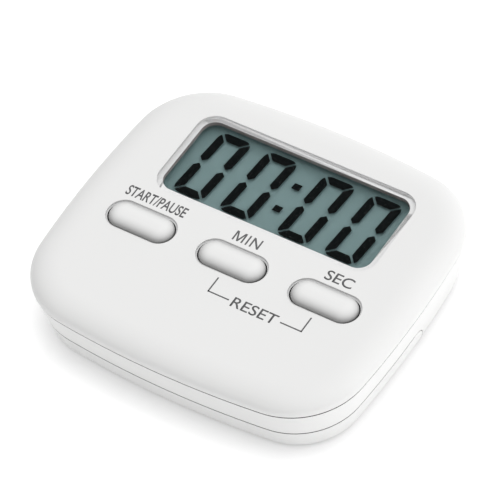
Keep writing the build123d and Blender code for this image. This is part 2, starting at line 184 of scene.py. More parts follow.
def paintWhole(piece, material):
    piece.data.materials.clear()
    piece.data.materials.append(material)
    for face in piece.data.polygons:
        face.material_index = 0


def tint(piece, material, chosen):  # faces whose centre (millimetres) is chosen take a second finish
    piece.data.materials.append(material)
    index = len(piece.data.materials) - 1
    for face in piece.data.polygons:
        if chosen(face.center / mm, face.normal):
            face.material_index = index


def place(piece, body, material, slot, *nodes, sharp=32):
    # Smooth shading with flat planes kept flat, then the piece joins its body.
    mesh = piece.data
    bm = bmesh.new()
    bm.from_mesh(mesh)
    bmesh.ops.remove_doubles(bm, verts=bm.verts, dist=0.0004 * mm)
    bm.to_mesh(mesh)
    bm.free()
    paintWhole(piece, material)
    mesh.shade_smooth()
    mesh.set_sharp_from_angle(angle=math.radians(sharp))
    weigh = piece.modifiers.new("weigh", "WEIGHTED_NORMAL")
    weigh.keep_sharp = True
    bake(piece)
    if nodes:
        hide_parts(*nodes)
    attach(piece, body)
    return piece


def nodeSet(name):
    material = bpy.data.materials.new(name)
    material.use_nodes = True
    nodes = material.node_tree.nodes
    return material, nodes, material.node_tree.links, nodes["Principled BSDF"]


def noiseOn(nodes, links, scale, detail=2.0):
    coords = nodes.new("ShaderNodeTexCoord")
    noise = nodes.new("ShaderNodeTexNoise")
    noise.inputs["Scale"].default_value = scale
    noise.inputs["Detail"].default_value = detail
    links.new(coords.outputs["Object"], noise.inputs["Vector"])
    return noise


def mouldedFinish(name, look):
    # Plastic, rubber or metal: a little colour drift, uneven gloss and a fine grain.
    material, nodes, links, shader = nodeSet(name)
    color = look["color"]
    drift = look.get("drift", 0.02)
    shader.inputs["Metallic"].default_value = look.get("metallic", 0.0)
    shader.inputs["IOR"].default_value = look.get("ior", 1.48)
    shader.inputs["Alpha"].default_value = look.get("alpha", 1.0)
    shader.inputs["Specular IOR Level"].default_value = look.get("specular", 0.5)
    broad = noiseOn(nodes, links, look.get("cloud", 60.0), 3.0)
    shade = nodes.new("ShaderNodeMix")
    shade.data_type = "RGBA"
    shade.inputs[6].default_value = (*[c * (1 - drift) for c in color], 1)
    shade.inputs[7].default_value = (*[min(1, c * (1 + drift)) for c in color], 1)
    links.new(broad.outputs["Fac"], shade.inputs[0])
    tone = shade.outputs[2]
    # painted shade: where a look gives one, the colour is darkened along an axis
    if "paintedShade" in look:
        tone = paintedShadeAlong(nodes, links, tone, look["paintedShade"], look.get("paintedShadeAxis", "Z"))
    links.new(tone, shader.inputs["Base Color"])
    fine = noiseOn(nodes, links, look.get("grain", 2600.0), 2.0)
    gloss = nodes.new("ShaderNodeMapRange")
    gloss.inputs["To Min"].default_value = look["rough"] - look.get("roughSpread", 0.04)
    gloss.inputs["To Max"].default_value = look["rough"] + look.get("roughSpread", 0.04)
    links.new(fine.outputs["Fac"], gloss.inputs["Value"])
    links.new(gloss.outputs["Result"], shader.inputs["Roughness"])
    bump = nodes.new("ShaderNodeBump")
    bump.inputs["Strength"].default_value = look.get("bump", 0.25)
    bump.inputs["Distance"].default_value = look.get("depth", 0.01) * mm
    links.new(fine.outputs["Fac"], bump.inputs["Height"])
    links.new(bump.outputs["Normal"], shader.inputs["Normal"])
    return material


def paintedShadeAlong(nodes, links, tone, stops, axis):
    # Painted shade: the colour is darkened along an axis, by (place in millimetres, brightness) from low to
    # high.
    coords = nodes.new("ShaderNodeTexCoord")
    split = nodes.new("ShaderNodeSeparateXYZ")
    span = nodes.new("ShaderNodeMapRange")
    ramp = nodes.new("ShaderNodeValToRGB")
    times = nodes.new("ShaderNodeMix")
    low, high = stops[0][0], stops[-1][0]
    span.inputs["From Min"].default_value = low * mm
    span.inputs["From Max"].default_value = high * mm
    while len(ramp.color_ramp.elements) < len(stops):
        ramp.color_ramp.elements.new(0.5)
    for element, (spot, level) in zip(ramp.color_ramp.elements, stops):
        element.position = (spot - low) / (high - low)
        element.color = (level, level, level, 1)
    times.data_type = "RGBA"
    times.blend_type = "MULTIPLY"
    times.inputs[0].default_value = 1.0
    links.new(coords.outputs["Object"], split.inputs[0])
    links.new(split.outputs[axis], span.inputs["Value"])
    links.new(span.outputs["Result"], ramp.inputs["Fac"])
    links.new(tone, times.inputs[6])
    links.new(ramp.outputs["Color"], times.inputs[7])
    return times.outputs[2]


looks = {
    "caseWhite": dict(color=(0.79, 0.79, 0.785), rough=0.42, drift=0.006, grain=3200, depth=0.006, bump=0.2),
    # painted shade: dark grey where the seam between base and stand lies in shadow
    "seamPaintedShade": dict(color=(0.20, 0.20, 0.20), rough=0.6, drift=0.1),
    # the display's sunk ring: painted light that lifts the recess's own shade, and painted shade that darkens
    # its left end
    "bezelPaintedLightAndShade": dict(color=(0.84, 0.84, 0.84), rough=0.5, drift=0.01, specular=0.3, paintedShadeAxis="X",
                      paintedShade=[(-30.0, 0.68), (-25.6, 0.70), (-22.5, 0.98), (30.0, 0.96)]),
    # painted shade: the sunk rings round the keys are greyer than the case
    "keyRingPaintedShade": dict(color=(0.66, 0.66, 0.66), rough=0.5, drift=0.01, specular=0.3),
    # painted shade: the white cover's window walls in a dark brownish grey
    "windowWallPaintedShade": dict(color=(0.30, 0.275, 0.272), rough=0.6, drift=0.04, specular=0.2),
    # painted shade: near black where the gaps lie in shadow
    "gapPaintedShade": dict(color=(0.03, 0.03, 0.03), rough=0.7, drift=0.1, specular=0.2),
    # the keys' white plastic, with painted shade that darkens each cap down towards the gap at its foot
    "keyWhitePaintedShade": dict(color=(0.80, 0.80, 0.795), rough=0.34, drift=0.006, grain=3200, depth=0.004, bump=0.15,
                     paintedShade=[(14.4, 0.05), (15.4, 0.35), (16.2, 0.62), (16.7, 0.88), (16.93, 1.0)]),
    "legendInk": dict(color=(0.10, 0.10, 0.103), rough=0.55, drift=0.08, grain=4000),
    "segmentInk": dict(color=(0.003, 0.003, 0.003), rough=0.6, drift=0.05, specular=0.0),
    "clearLens": dict(color=(0.05, 0.06, 0.06), rough=0.05, drift=0.0, alpha=0.03, ior=1.49, roughSpread=0.01,
                      specular=0.04),
    "polariserFilm": dict(color=(0.02, 0.03, 0.03), rough=0.25, drift=0.02, alpha=0.03, specular=0.0),
    "cellGlass": dict(color=(0.02, 0.04, 0.04), rough=0.06, drift=0.0, alpha=0.02, ior=1.52, roughSpread=0.01,
                      specular=0.04),
    "frameBlack": dict(color=(0.012, 0.012, 0.013), rough=0.5, drift=0.1, depth=0.02),
    "siliconeGrey": dict(color=(0.42, 0.43, 0.45), rough=0.55, drift=0.03),
    "carbonBlack": dict(color=(0.01, 0.01, 0.01), rough=0.7, drift=0.2, depth=0.03),
    "epoxyBlack": dict(color=(0.006, 0.006, 0.007), rough=0.18, drift=0.1, cloud=300),
    "ferriteBlack": dict(color=(0.022, 0.022, 0.024), rough=0.6, drift=0.2, depth=0.05, bump=0.5),
    "tinnedSteel": dict(color=(0.62, 0.62, 0.63), rough=0.28, metallic=1.0, roughSpread=0.08, cloud=400),
    "zincSteel": dict(color=(0.55, 0.56, 0.56), rough=0.33, metallic=1.0, roughSpread=0.1, cloud=500),
    "nickelSteel": dict(color=(0.60, 0.57, 0.52), rough=0.24, metallic=1.0, roughSpread=0.06, cloud=400),
    "brassPlate": dict(color=(0.70, 0.49, 0.19), rough=0.3, metallic=1.0, roughSpread=0.1, cloud=300),
    "solder": dict(color=(0.66, 0.66, 0.68), rough=0.22, metallic=1.0, roughSpread=0.08, cloud=900),
    "silveredCeramic": dict(color=(0.62, 0.60, 0.54), rough=0.5, drift=0.06, depth=0.03),
    "chipTan": dict(color=(0.35, 0.22, 0.12), rough=0.45, drift=0.08),
    "chipBlack": dict(color=(0.02, 0.02, 0.022), rough=0.4, drift=0.1),
    "boardGreen": dict(color=(0.010, 0.085, 0.032), rough=0.3, drift=0.25, cloud=220, depth=0.02),
    "copperTrace": dict(color=(0.014, 0.14, 0.045), rough=0.28, drift=0.1, cloud=400),
    "redPvc": dict(color=(0.50, 0.012, 0.010), rough=0.4, drift=0.04),
    "blackPvc": dict(color=(0.010, 0.010, 0.011), rough=0.4, drift=0.08),
    "elastomerGrey": dict(color=(0.30, 0.31, 0.32), rough=0.6, drift=0.05),
    "sleeveGreen": dict(color=(0.02, 0.10, 0.075), rough=0.3, drift=0.05, depth=0.01),
    "sleeveSilver": dict(color=(0.60, 0.60, 0.60), rough=0.3, metallic=0.8, drift=0.03),
}
finish = {name: mouldedFinish(name, look) for name, look in looks.items()}
print("materials made:", len(finish))


coverLow, coverHigh = boxMm("front_cover")
standHigh = boxMm("stand")[1]
case = dict(
    width=coverHigh.x - coverLow.x, depth=coverHigh.y - coverLow.y, faceZ=coverHigh.z,
    longSideRadius=218.0, shortSideRadius=215.0, cornerRadius=15.66,  # the bulged sides and the corners
    rimZ=13.1, roundIn=6.3, roundDown=2.7, roundPower=2.35, roundSteps=22, skin=1.5, wall=1.9,
    baseInset=0.06, taper=11.2, bottomRound=2.2, baseWall=1.4, floor=1.5, seamDepth=0.5,
)
# How far cutting shapes run past the case: sideways, below, and above the stand and the base.
cutter = dict(reach=45.0, wide=50.0, outside=-3.0, below=-5.0, above=9.0, top=12.0, past=1.5)
skinUnder = case["faceZ"] - case["skin"]


def caseLoop(longSteps=26, cornerSteps=20):
    # Four bulging sides and four corner arcs that touch them.
    a = case["longSideRadius"] - case["cornerRadius"]
    b = case["shortSideRadius"] - case["cornerRadius"]
    frontY = case["depth"] / 2 - case["longSideRadius"]
    sideX = case["width"] / 2 - case["shortSideRadius"]
    span = math.hypot(sideX, frontY)
    along = (a * a - b * b + span * span) / (2 * span)
    off = math.sqrt(a * a - along * along)
    ux, uy = sideX / span, -frontY / span
    cx = ux * along + uy * off
    cy = frontY + uy * along - ux * off
    low = math.degrees(math.atan2(cy, cx - sideX))
    high = math.degrees(math.atan2(cy - frontY, cx))
    r, longR, shortR = case["cornerRadius"], case["longSideRadius"], case["shortSideRadius"]
    loop = arcLoop([
        (sideX, 0, shortR, -low, low, longSteps),
        (cx, cy, r, low, high, cornerSteps),
        (0, frontY, longR, high, 180 - high, longSteps),
        (-cx, cy, r, 180 - high, 180 - low, cornerSteps),
        (-sideX, 0, shortR, 180 - low, 180 + low, longSteps),
        (-cx, -cy, r, 180 + low, 180 + high, cornerSteps),
        (0, -frontY, longR, 180 + high, 360 - high, longSteps),
        (cx, -cy, r, -high, -low, cornerSteps),
    ])
    outline = []
    for i, here in enumerate(loop):  # neighbouring arcs share their end point, so one of the two goes
        before = loop[i - 1]
        sameArc = here[0] == before[0] and here[1] == before[1]
        if sameArc or abs(here[3] - before[3]) + abs(here[4] - before[4]) > 1e-6:
            outline.append(here)
    return outline


outer = caseLoop()
slope = math.tan(math.radians(case["taper"]))


def wallInset(z):
    return case["baseInset"] + (case["rimZ"] - z) * slope


def bottomCorner(steps=8):  # (inset, z) from the flat bottom up to the tapered wall
    r = case["bottomRound"]
    lean = math.radians(case["taper"])
    centre = wallInset(r) + r / math.cos(lean)
    corner = []
    for i in range(steps + 1):
        a = math.radians(90) * (1 - i / steps) + lean * i / steps
        corner.append((centre - r * math.cos(a), r - r * math.sin(a)))
    return corner


def standProfile(gap, steps=20):  # the stand's room seen from the side, grown by gap
    y, z = pivot.y, pivot.z
    r = standHigh.z - z + gap
    far, below, above = -cutter["reach"], cutter["below"], cutter["above"]
    points = [(far, below), (far, above), (y, above), (y, z + r)]
    for i in range(1, steps + 1):
        a = math.radians(90 - lower["armSweep"] * i / steps)
        points.append((y + r * math.cos(a), z + r * math.sin(a)))
    points.append((points[-1][0], below))
    return points


def innerPrism(name, inset, barY):
    # The case's middle between the stand's arms, cut straight behind the stand's bar.
    bm = bmesh.new()
    rings = []
    for z in (cutter["below"], cutter["top"]):
        points = ringAt(outer, inset, z)
        rings.append([bm.verts.new((p.x, max(p.y, barY * mm), p.z)) for p in points])
    for i in range(len(outer)):
        j = (i + 1) % len(outer)
        bm.faces.new((rings[0][i], rings[0][j], rings[1][j], rings[1][i]))
    bm.faces.new(rings[0])
    bm.faces.new(rings[1])
    bmesh.ops.remove_doubles(bm, verts=bm.verts, dist=0.001 * mm)
    bmesh.ops.recalc_face_normals(bm, faces=bm.faces)
    return meshPiece(name, bm)


pivot = Vector(next(j["pos_m"] for j in frame["joints"] if j["name"] == "stand_swing")) / mm
lensLow, lensHigh = boxMm("display_lens")
keyNodes = {"start_pause_key": "start_pause", "minute_key": "minute", "second_key": "second"}
flange = 1.0
cover = dict(
    rimRound=0.06, bezelRing=1.18, bezelDepth=0.55, windowCorner=3.0, windowEdge=0.04, ringEdge=0.05,
    lensGap=0.08, keyRing=0.555, keyRingSide=0.5106, keyRingDepth=0.45, keyRingEdge=0.12,
    keyHoleEnd=0.26, keyHoleSide=0.1, keyHoleEdge=0.05, keyBandRise=0.5, keyBand=9.5, keyReach=30.0,
    tongueGap=0.15, tongueThick=0.8, tongueDepth=0.9, tongueBite=0.2, collar=0.5, cavityBend=0.5,
    bossBite=0.3,
    planeStep=0.03,  # how far a face's centre may lie from the plane it is told by
    bosses={"case_screws": (2.3, 9.05), "board_screws": (1.7, 12.0)},  # radius and lower end
)
screwHead = {"case_screws": 1.85, "board_screws": 1.5}  # head radius
frontScrewX = 27.0


def keyPlace(node):  # centre, length and width of a key's cap, without its flange
    low, high = boxMm(node)
    middle = (low + high) / 2
    return middle.x, middle.y, high.x - low.x - 2 * flange, high.y - low.y - 2 * flange


def makeFrontCover():
    face, rim, r = case["faceZ"], case["rimZ"], cover["rimRound"]
    profile = [(r, rim), (0, rim + r)]
    bend, steps = 2 / case["roundPower"], case["roundSteps"]
    for i in range(steps + 1):
        a = math.radians(90 * i / steps)
        across = 1 - math.cos(a) ** bend if i < steps else 1
        up = math.sin(a) ** bend
        profile.append((case["roundIn"] * across, face - case["roundDown"] * (1 - up)))
    piece = skin("frontCover", outer, profile)
    wall, turn = case["wall"], cover["cavityBend"]
    carve(piece, skin("cavity", outer, [
        (wall, rim - 1), (wall, skinUnder - turn),
        (wall + 0.3 * turn, skinUnder - 0.3 * turn), (wall + turn, skinUnder),
    ]))
    outside, root = wall + cover["tongueGap"], wall - cover["tongueBite"]
    inside = outside + cover["tongueThick"]
    low, high = rim - cover["tongueDepth"], rim + cover["collar"]
    fuse(piece, skin("tongue", outer, [
        (outside, low), (outside, rim), (root, rim + 0.02), (root, high), (inside, high), (inside, low),
    ], closed=True))
    for node, (radius, low) in cover["bosses"].items():
        for x, y in screwPlaces(node):
            boss = [(0, low), (0, skinUnder + cover["bossBite"])]
            fuse(piece, skin("boss", roundLoop(radius, x, y, 32), boss))
    ring, corner = cover["bezelRing"], cover["windowCorner"]
    middle = (lensLow + lensHigh) / 2
    width = lensHigh.x - lensLow.x + 2 * cover["lensGap"]
    height = lensHigh.y - lensLow.y + 2 * cover["lensGap"]
    seat = face - cover["bezelDepth"]
    window = rectLoop(width - 2 * ring, height - 2 * ring, corner, middle.x, middle.y, 12)
    recess = rectLoop(width, height, corner + ring, middle.x, middle.y, 14)
    carve(piece, roundedHole("window", window, skinUnder - 1, seat, cover["windowEdge"]))
    carve(piece, roundedHole("recess", recess, seat, face, cover["ringEdge"]))
    floor = face - cover["keyRingDepth"]
    for node in keyNodes:
        x, y, length, wide = keyPlace(node)
        through = pillLoop(length + 2 * cover["keyHoleEnd"], wide + 2 * cover["keyHoleSide"], x, y)
        carve(piece, roundedHole("keyHole", through, skinUnder - 1, floor, cover["keyHoleEdge"]))
        around = pillLoop(length + 2 * cover["keyRing"], wide + 2 * cover["keyRingSide"], x, y)
        carve(piece, roundedHole("keyRing", around, floor, face, cover["keyRingEdge"]))
    place(piece, "case", finish["caseWhite"], "white_case", "front_cover")
    keyTop = boxMm("minute_key")[1].y + cover["keyBandRise"]
    step = cover["planeStep"]

    def inDisplay(centre):
        return abs(centre.x - middle.x) < width / 2 + 0.01 and abs(centre.y - middle.y) < height / 2 + 0.01

    def inKeys(centre):
        return keyTop - cover["keyBand"] < centre.y < keyTop and abs(centre.x) < cover["keyReach"]

    # painted light and painted shade on the display's sunk ring
    tint(piece, finish["bezelPaintedLightAndShade"], lambda c, n: inDisplay(c) and seat - step < c.z < face - 0.02)
    # painted shade on the window's walls
    tint(piece, finish["windowWallPaintedShade"], lambda c, n: (
        inDisplay(c) and skinUnder < c.z < seat - step and abs(n.z) < 0.5))
    # painted shade on the sunk rings round the keys
    tint(piece, finish["keyRingPaintedShade"], lambda c, n: inKeys(c) and floor - step < c.z < face - 2 * step)
    # painted shade: the key holes' round ends are near black
    tint(piece, finish["gapPaintedShade"], lambda c, n: (  # only the holes' round ends
        inKeys(c) and skinUnder < c.z < floor - step and abs(n.x) > 0.45))


def screwPlaces(node):  # centres of the separate screws in a node, from their corner arrangement
    low, high = boxMm(node)
    r = screwHead[node]
    if node == "board_screws":
        return [(x, y) for x in (low.x + r, high.x - r) for y in (low.y + r, high.y - r)]
    front, back = low.y + r, high.y - r
    return [(-frontScrewX, front), (frontScrewX, front), (low.x + r, back), (high.x - r, back)]


makeFrontCover()
print("front cover made")


key = dict(crownStart=15.25, crownPower=2.6, crownSteps=16, flangeRound=0.12, flangeGap=0.05, ridge=0.03)


def makeKey(node):
    low, high = boxMm(node)
    x, y, length, width = keyPlace(node)
    start, top = key["crownStart"], high.z
    step, under = key["flangeRound"], skinUnder - key["flangeGap"]
    profile = [(-flange + step, low.z), (-flange, low.z + step), (-flange, under - step),
               (-flange + step, under), (0, under), (0, start)]
    reach = width / 2 - key["ridge"]
    for i in range(1, key["crownSteps"] + 1):
        a = math.radians(90 * i / key["crownSteps"])
        across = 1 - math.cos(a) ** (2 / key["crownPower"])
        up = math.sin(a) ** (2 / key["crownPower"])
        profile.append((reach * across, start + (top - start) * up))
    piece = skin(keyNodes[node] + "KeyCap", pillLoop(length, width, x, y), profile)
    # the cap's colour holds painted shade, darker low down towards the gap
    place(piece, node, finish["keyWhitePaintedShade"], "key_plastic", node, sharp=50)


for node in keyNodes:
    makeKey(node)
print("keys made")


rearGlassHigh = boxMm("lcd_rear_glass")[1]
digits = dict(
    firstX=-17.74, pairPitch=10.95, secondPairX=6.63, middleY=14.55, halfWidth=2.76, halfHeight=7.78,
    stroke=1.86, cornerRound=1.8, gap=0.47, lean=0.070, waist=0.37, shoulder=1.2,
    colonX=-0.04, colonY=3.26, colonWidth=1.75, colonHeight=1.5, ink=0.02, lift=0.005,
)


def segmentOutline(upright):
    # One bar of a numeral about its own digit's centre: the top bar, or the upper right bar.
    w, h, s = digits["halfWidth"], digits["halfHeight"], digits["stroke"] / 2
    g, r = digits["gap"] / 2 * math.sqrt(2), digits["cornerRound"]
    ox, oy, ix, iy = w + s, h + s, w - s, h - s
    corner = []
    for i in range(10):
        a = math.radians(90 * i / 9)
        corner.append((ox - r + r * math.cos(a), oy - r + r * math.sin(a)))
    if upright:
        side = [(x, y) for x, y in corner if y - x < (oy - ox) - g]
        waist, shoulder = digits["waist"], digits["shoulder"]
        end = cornerCut(corner, oy - ox - g)
        return [(ix, shoulder), (w, waist), (ox, shoulder)] + side + [end, (ix, iy - g)]
    side = [(x, y) for x, y in corner if y - x > (oy - ox) + g]
    right = [(ix - g, iy), cornerCut(corner, oy - ox + g)] + side
    return right + [(-x, y) for x, y in reversed(right)]


def cornerCut(arc, level):  # where the rounded corner crosses a 45 degree line
    for (x1, y1), (x2, y2) in zip(arc, arc[1:]):
        d1, d2 = y1 - x1 - level, y2 - x2 - level
        if d1 <= 0 <= d2:
            t = d1 / (d1 - d2)
            return (x1 + (x2 - x1) * t, y1 + (y2 - y1) * t)
    return arc[0]


def inkPlate(bm, outline, z, thick):
    low = [bm.verts.new((x * mm, y * mm, z * mm)) for x, y in outline]
    high = [bm.verts.new((x * mm, y * mm, (z + thick) * mm)) for x, y in outline]
    bm.faces.new(low)
    bm.faces.new(high)
    for i in range(len(outline)):
        j = (i + 1) % len(outline)
        bm.faces.new((low[i], low[j], high[j], high[i]))


def boxOutline(x1, x2, y1, y2):
    return [(x1, y1), (x2, y1), (x2, y2), (x1, y2)]


def numeralZero():
    bm = bmesh.new()
    upright, flat = segmentOutline(True), segmentOutline(False)
    for sx in (1, -1):
        for sy in (1, -1):
            inkPlate(bm, [(x * sx, y * sy) for x, y in upright], 0, digits["ink"])
    for sy in (1, -1):
        inkPlate(bm, [(x, y * sy) for x, y in flat], 0, digits["ink"])
    bmesh.ops.recalc_face_normals(bm, faces=bm.faces)
    return meshPiece("numeral", bm)


def instanceTree(name, source, material):
    # Points in, one copy of the source at each point out, realised and given its material.
    tree = bpy.data.node_groups.new(name, "GeometryNodeTree")
    tree.interface.new_socket("Geometry", in_out="INPUT", socket_type="NodeSocketGeometry")
    scaleSocket = tree.interface.new_socket("Copy Scale", in_out="INPUT", socket_type="NodeSocketFloat")
    turnSocket = tree.interface.new_socket("Turn Step", in_out="INPUT", socket_type="NodeSocketFloat")
    tree.interface.new_socket("Geometry", in_out="OUTPUT", socket_type="NodeSocketGeometry")
    nodes, links = tree.nodes, tree.links
    start, end = nodes.new("NodeGroupInput"), nodes.new("NodeGroupOutput")
    info = nodes.new("GeometryNodeObjectInfo")
    info.inputs["Object"].default_value = source
    index = nodes.new("GeometryNodeInputIndex")
    turn = nodes.new("ShaderNodeMath")
    turn.operation = "MULTIPLY"
    spin = nodes.new("ShaderNodeCombineXYZ")
    copies = nodes.new("GeometryNodeInstanceOnPoints")
    real = nodes.new("GeometryNodeRealizeInstances")
    paint = nodes.new("GeometryNodeSetMaterial")
    paint.inputs["Material"].default_value = material
    links.new(start.outputs["Geometry"], copies.inputs["Points"])
    links.new(info.outputs["Geometry"], copies.inputs["Instance"])
    links.new(index.outputs[0], turn.inputs[0])
    links.new(start.outputs["Turn Step"], turn.inputs[1])
    links.new(turn.outputs[0], spin.inputs["Z"])
    links.new(spin.outputs[0], copies.inputs["Rotation"])
    links.new(start.outputs["Copy Scale"], copies.inputs["Scale"])
    links.new(copies.outputs[0], real.inputs[0])
    links.new(real.outputs[0], paint.inputs["Geometry"])
    links.new(paint.outputs[0], end.inputs["Geometry"])
    return tree, scaleSocket.identifier, turnSocket.identifier


def repeatAt(name, source, points, material, turn=0.0):
    # The source copied to each point (millimetres) by Geometry Nodes, as one plain mesh.
    bm = bmesh.new()
    for p in points:
        bm.verts.new(Vector(p) * mm)
    piece = meshPiece(name, bm)
    tree, scaleId, turnId = instanceTree(name + "Tree", source, material)
    modifier = piece.modifiers.new("copies", "NODES")
    modifier.node_group = tree
    modifier[scaleId] = 1.0
    modifier[turnId] = turn
    bake(piece)
    bpy.data.objects.remove(source)
    paintWhole(piece, material)
    return piece


def makeDigits():
    inkZ = rearGlassHigh.z + digits["lift"]
    pitch = digits["pairPitch"]
    xs = [digits["firstX"], digits["firstX"] + pitch, digits["secondPairX"], digits["secondPairX"] + pitch]
    points = [(x, digits["middleY"], inkZ) for x in xs]
    piece = repeatAt("lcdDigits", numeralZero(), points, finish["segmentInk"])
    bm = bmesh.new()
    bm.from_mesh(piece.data)
    dx, dy = digits["colonWidth"] / 2, digits["colonHeight"] / 2
    for side in (1, -1):
        cx, cy = digits["colonX"], digits["middleY"] + side * digits["colonY"]
        inkPlate(bm, boxOutline(cx - dx, cx + dx, cy - dy, cy + dy), inkZ, digits["ink"])
    bmesh.ops.recalc_face_normals(bm, faces=bm.faces)
    for v in bm.verts:  # the numerals lean to the right
        v.co.x += (v.co.y - digits["middleY"] * mm) * digits["lean"]
    bm.to_mesh(piece.data)
    bm.free()
    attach(piece, "case")


mirror = dict(grain=(400, 5200, 400), dark=(0.204, 0.316, 0.320), light=(0.234, 0.348, 0.352),
              rough=0.55, specular=0.25)  # the brushed sheet behind the display


def makeReflector():
    material, nodes, links, shader = nodeSet("brushedReflector")
    coords = nodes.new("ShaderNodeTexCoord")
    stretch = nodes.new("ShaderNodeMapping")
    stretch.inputs["Scale"].default_value = mirror["grain"]
    links.new(coords.outputs["Object"], stretch.inputs["Vector"])
    grain = nodes.new("ShaderNodeTexNoise")
    grain.inputs["Scale"].default_value = 1.0
    links.new(stretch.outputs["Vector"], grain.inputs["Vector"])
    tone = nodes.new("ShaderNodeMix")
    tone.data_type = "RGBA"
    tone.inputs[6].default_value = (*mirror["dark"], 1)
    tone.inputs[7].default_value = (*mirror["light"], 1)
    links.new(grain.outputs["Fac"], tone.inputs[0])
    links.new(tone.outputs[2], shader.inputs["Base Color"])
    shader.inputs["Roughness"].default_value = mirror["rough"]
    shader.inputs["Specular IOR Level"].default_value = mirror["specular"]
    return material


finish["reflector"] = makeReflector()


def slab(name, node, corner, edge, body, material, slot):
    # A thin plate the size of its node with softened corners and edges.
    low, high = boxMm(node)
    middle = (low + high) / 2
    loop = rectLoop(high.x - low.x, high.y - low.y, corner, middle.x, middle.y)
    profile = [(edge, low.z), (0, low.z + edge), (0, high.z - edge), (edge, high.z)]
    piece = skin(name, loop, profile)
    place(piece, body, material, slot, node)


lensCorner = cover["windowCorner"] + cover["bezelRing"] - cover["lensGap"]
slab("displayLens", "display_lens", lensCorner, 0.03, "case", finish["clearLens"], "lens_clear")
slab("frontPolariser", "lcd_front_polariser", 0.3, 0.02, "case", finish["polariserFilm"], "film")
slab("frontGlass", "lcd_front_glass", 0.4, 0.05, "case", finish["cellGlass"], "lcd_glass")
slab("rearGlass", "lcd_rear_glass", 0.4, 0.05, "case", finish["cellGlass"], "lcd_glass")
slab("rearReflector", "lcd_rear_reflector", 0.3, 0.02, "case", finish["reflector"], "reflector")
makeDigits()
print("display made")


lower = dict(
    seamOpen=0.42, seamRound=0.08, standInset=5.2, standBarY=-26.5, standGap=0.18, seamGap=0.25,
    seamBand=0.45, armSweep=150.0, lipEdge=0.04, wallRings=(4, 6, 8, 10, 12), cavityRings=(5, 9), bite=0.3,
    pinRadius=1.0, pinLength=1.3, pinEdge=0.12, pinRoot=1.0, boreRadius=1.06, hubRadius=2.1, hubLength=2.4,
    nailSlotHalf=7.0, nailSlotDepth=1.2, nailSlotHeight=1.8,
    bayWall=1.0, bayHalfWidth=5.6, bayRoof=12.35, doorLedge=0.4, doorGap=0.15,
    latchY=16.4, latchWidth=5.0, postRadius=2.7, postTop=9.0, screwWell=2.0, screwHole=1.15, screwSeat=6.5,
    buzzerWall=1.2, buzzerLedge=1.4, buzzerLip=0.7, soundHole=0.6, soundRing=3.2, soundHoles=6,
    magnetPad=1.0, mouthRound=0.2, wellMouth=0.25, soundMouth=0.15, signHalf=1.6, signBar=0.35,
)


def quarterTurn(axis):
    return Matrix.Rotation(math.radians(90), 4, axis)


def alongX(piece, y, z):  # a piece made round the vertical axis is laid along X
    piece.data.transform(Matrix.Translation(Vector((0, y, z)) * mm) @ quarterTurn("Y"))
    return piece


def flaredWell(name, loop, depth, flare):  # a cutter from below whose mouth opens out
    return skin(name, loop, [(-flare, -1), (-flare, 0), (0, flare), (0, depth)])


def makeStand():
    top, r = standHigh.z, lower["seamRound"]
    profile = bottomCorner() + [(wallInset(top - r), top - r)]
    for i in range(1, 5):
        a = math.radians(90 * i / 4)
        profile.append((wallInset(top) + r * (1 - math.cos(a)), top - r + r * math.sin(a)))
    profile.append((wallInset(top) + lower["seamBand"], top))
    piece = skin("foldOutStand", outer, profile)
    keep(piece, barPiece("side", standProfile(0), (-cutter["reach"], cutter["reach"])))
    carve(piece, innerPrism("inner", lower["standInset"], lower["standBarY"]))
    half = case["width"] / 2 - lower["standInset"]
    edge = lower["pinEdge"]
    for side in (-1, 1):
        low, high = sorted((side * (half - lower["pinLength"]), side * (half + lower["pinRoot"])))
        pin = [(edge, low), (0, low + edge), (0, high - edge), (edge, high)]
        fuse(piece, alongX(skin("pin", roundLoop(lower["pinRadius"], steps=32), pin), pivot.y, pivot.z))
    slot, barY = lower["nailSlotHalf"], lower["standBarY"]
    carve(piece, boxPiece("nailSlot", (-slot, slot), (barY - lower["nailSlotDepth"], barY + 1),
                          (-1, lower["nailSlotHeight"])))
    place(piece, "stand", finish["caseWhite"], "white_case", "stand")
    # painted shade: a dark band round the stand's top edge, under the seam
    band = lower["seamBand"] + wallInset(top)
    tint(piece, finish["seamPaintedShade"], lambda c, n: c.z > top - r and n.z > 0.6 and nearOutline(c, band))


def nearOutline(centre, band):  # whether a point lies within band of the case's outline
    points = ringAt(outer, band, 0)
    inside = False
    x, y = centre.x * mm, centre.y * mm
    for a, b in zip(points, points[1:] + points[:1]):
        if (a.y > y) != (b.y > y) and x < a.x + (y - a.y) * (b.x - a.x) / (b.y - a.y):
            inside = not inside
    return not inside


def standRoom():
    # The space in the base that the stand folds into, its outer mouth rounded.
    ledge, r, gap = standHigh.z + lower["seamGap"], lower["seamRound"], lower["standGap"]
    outside, above = cutter["outside"], ledge + r + cutter["past"]
    flared = [(outside, cutter["below"]), (outside, above), (wallInset(ledge + r) - 0.5, above)]
    for i in range(5):
        a = math.radians(90 * i / 4)
        flared.append((wallInset(ledge + r) - 0.01 + r * math.sin(a), ledge + r * math.cos(a)))
    flared.append((wallInset(ledge) + lower["seamBand"], ledge))
    room = skin("standRoom", outer, flared)
    keep(room, barPiece("side", standProfile(lower["seamGap"]), (-cutter["wide"], cutter["wide"])))
    return carve(room, innerPrism("inner", lower["standInset"] + gap, lower["standBarY"] + gap))


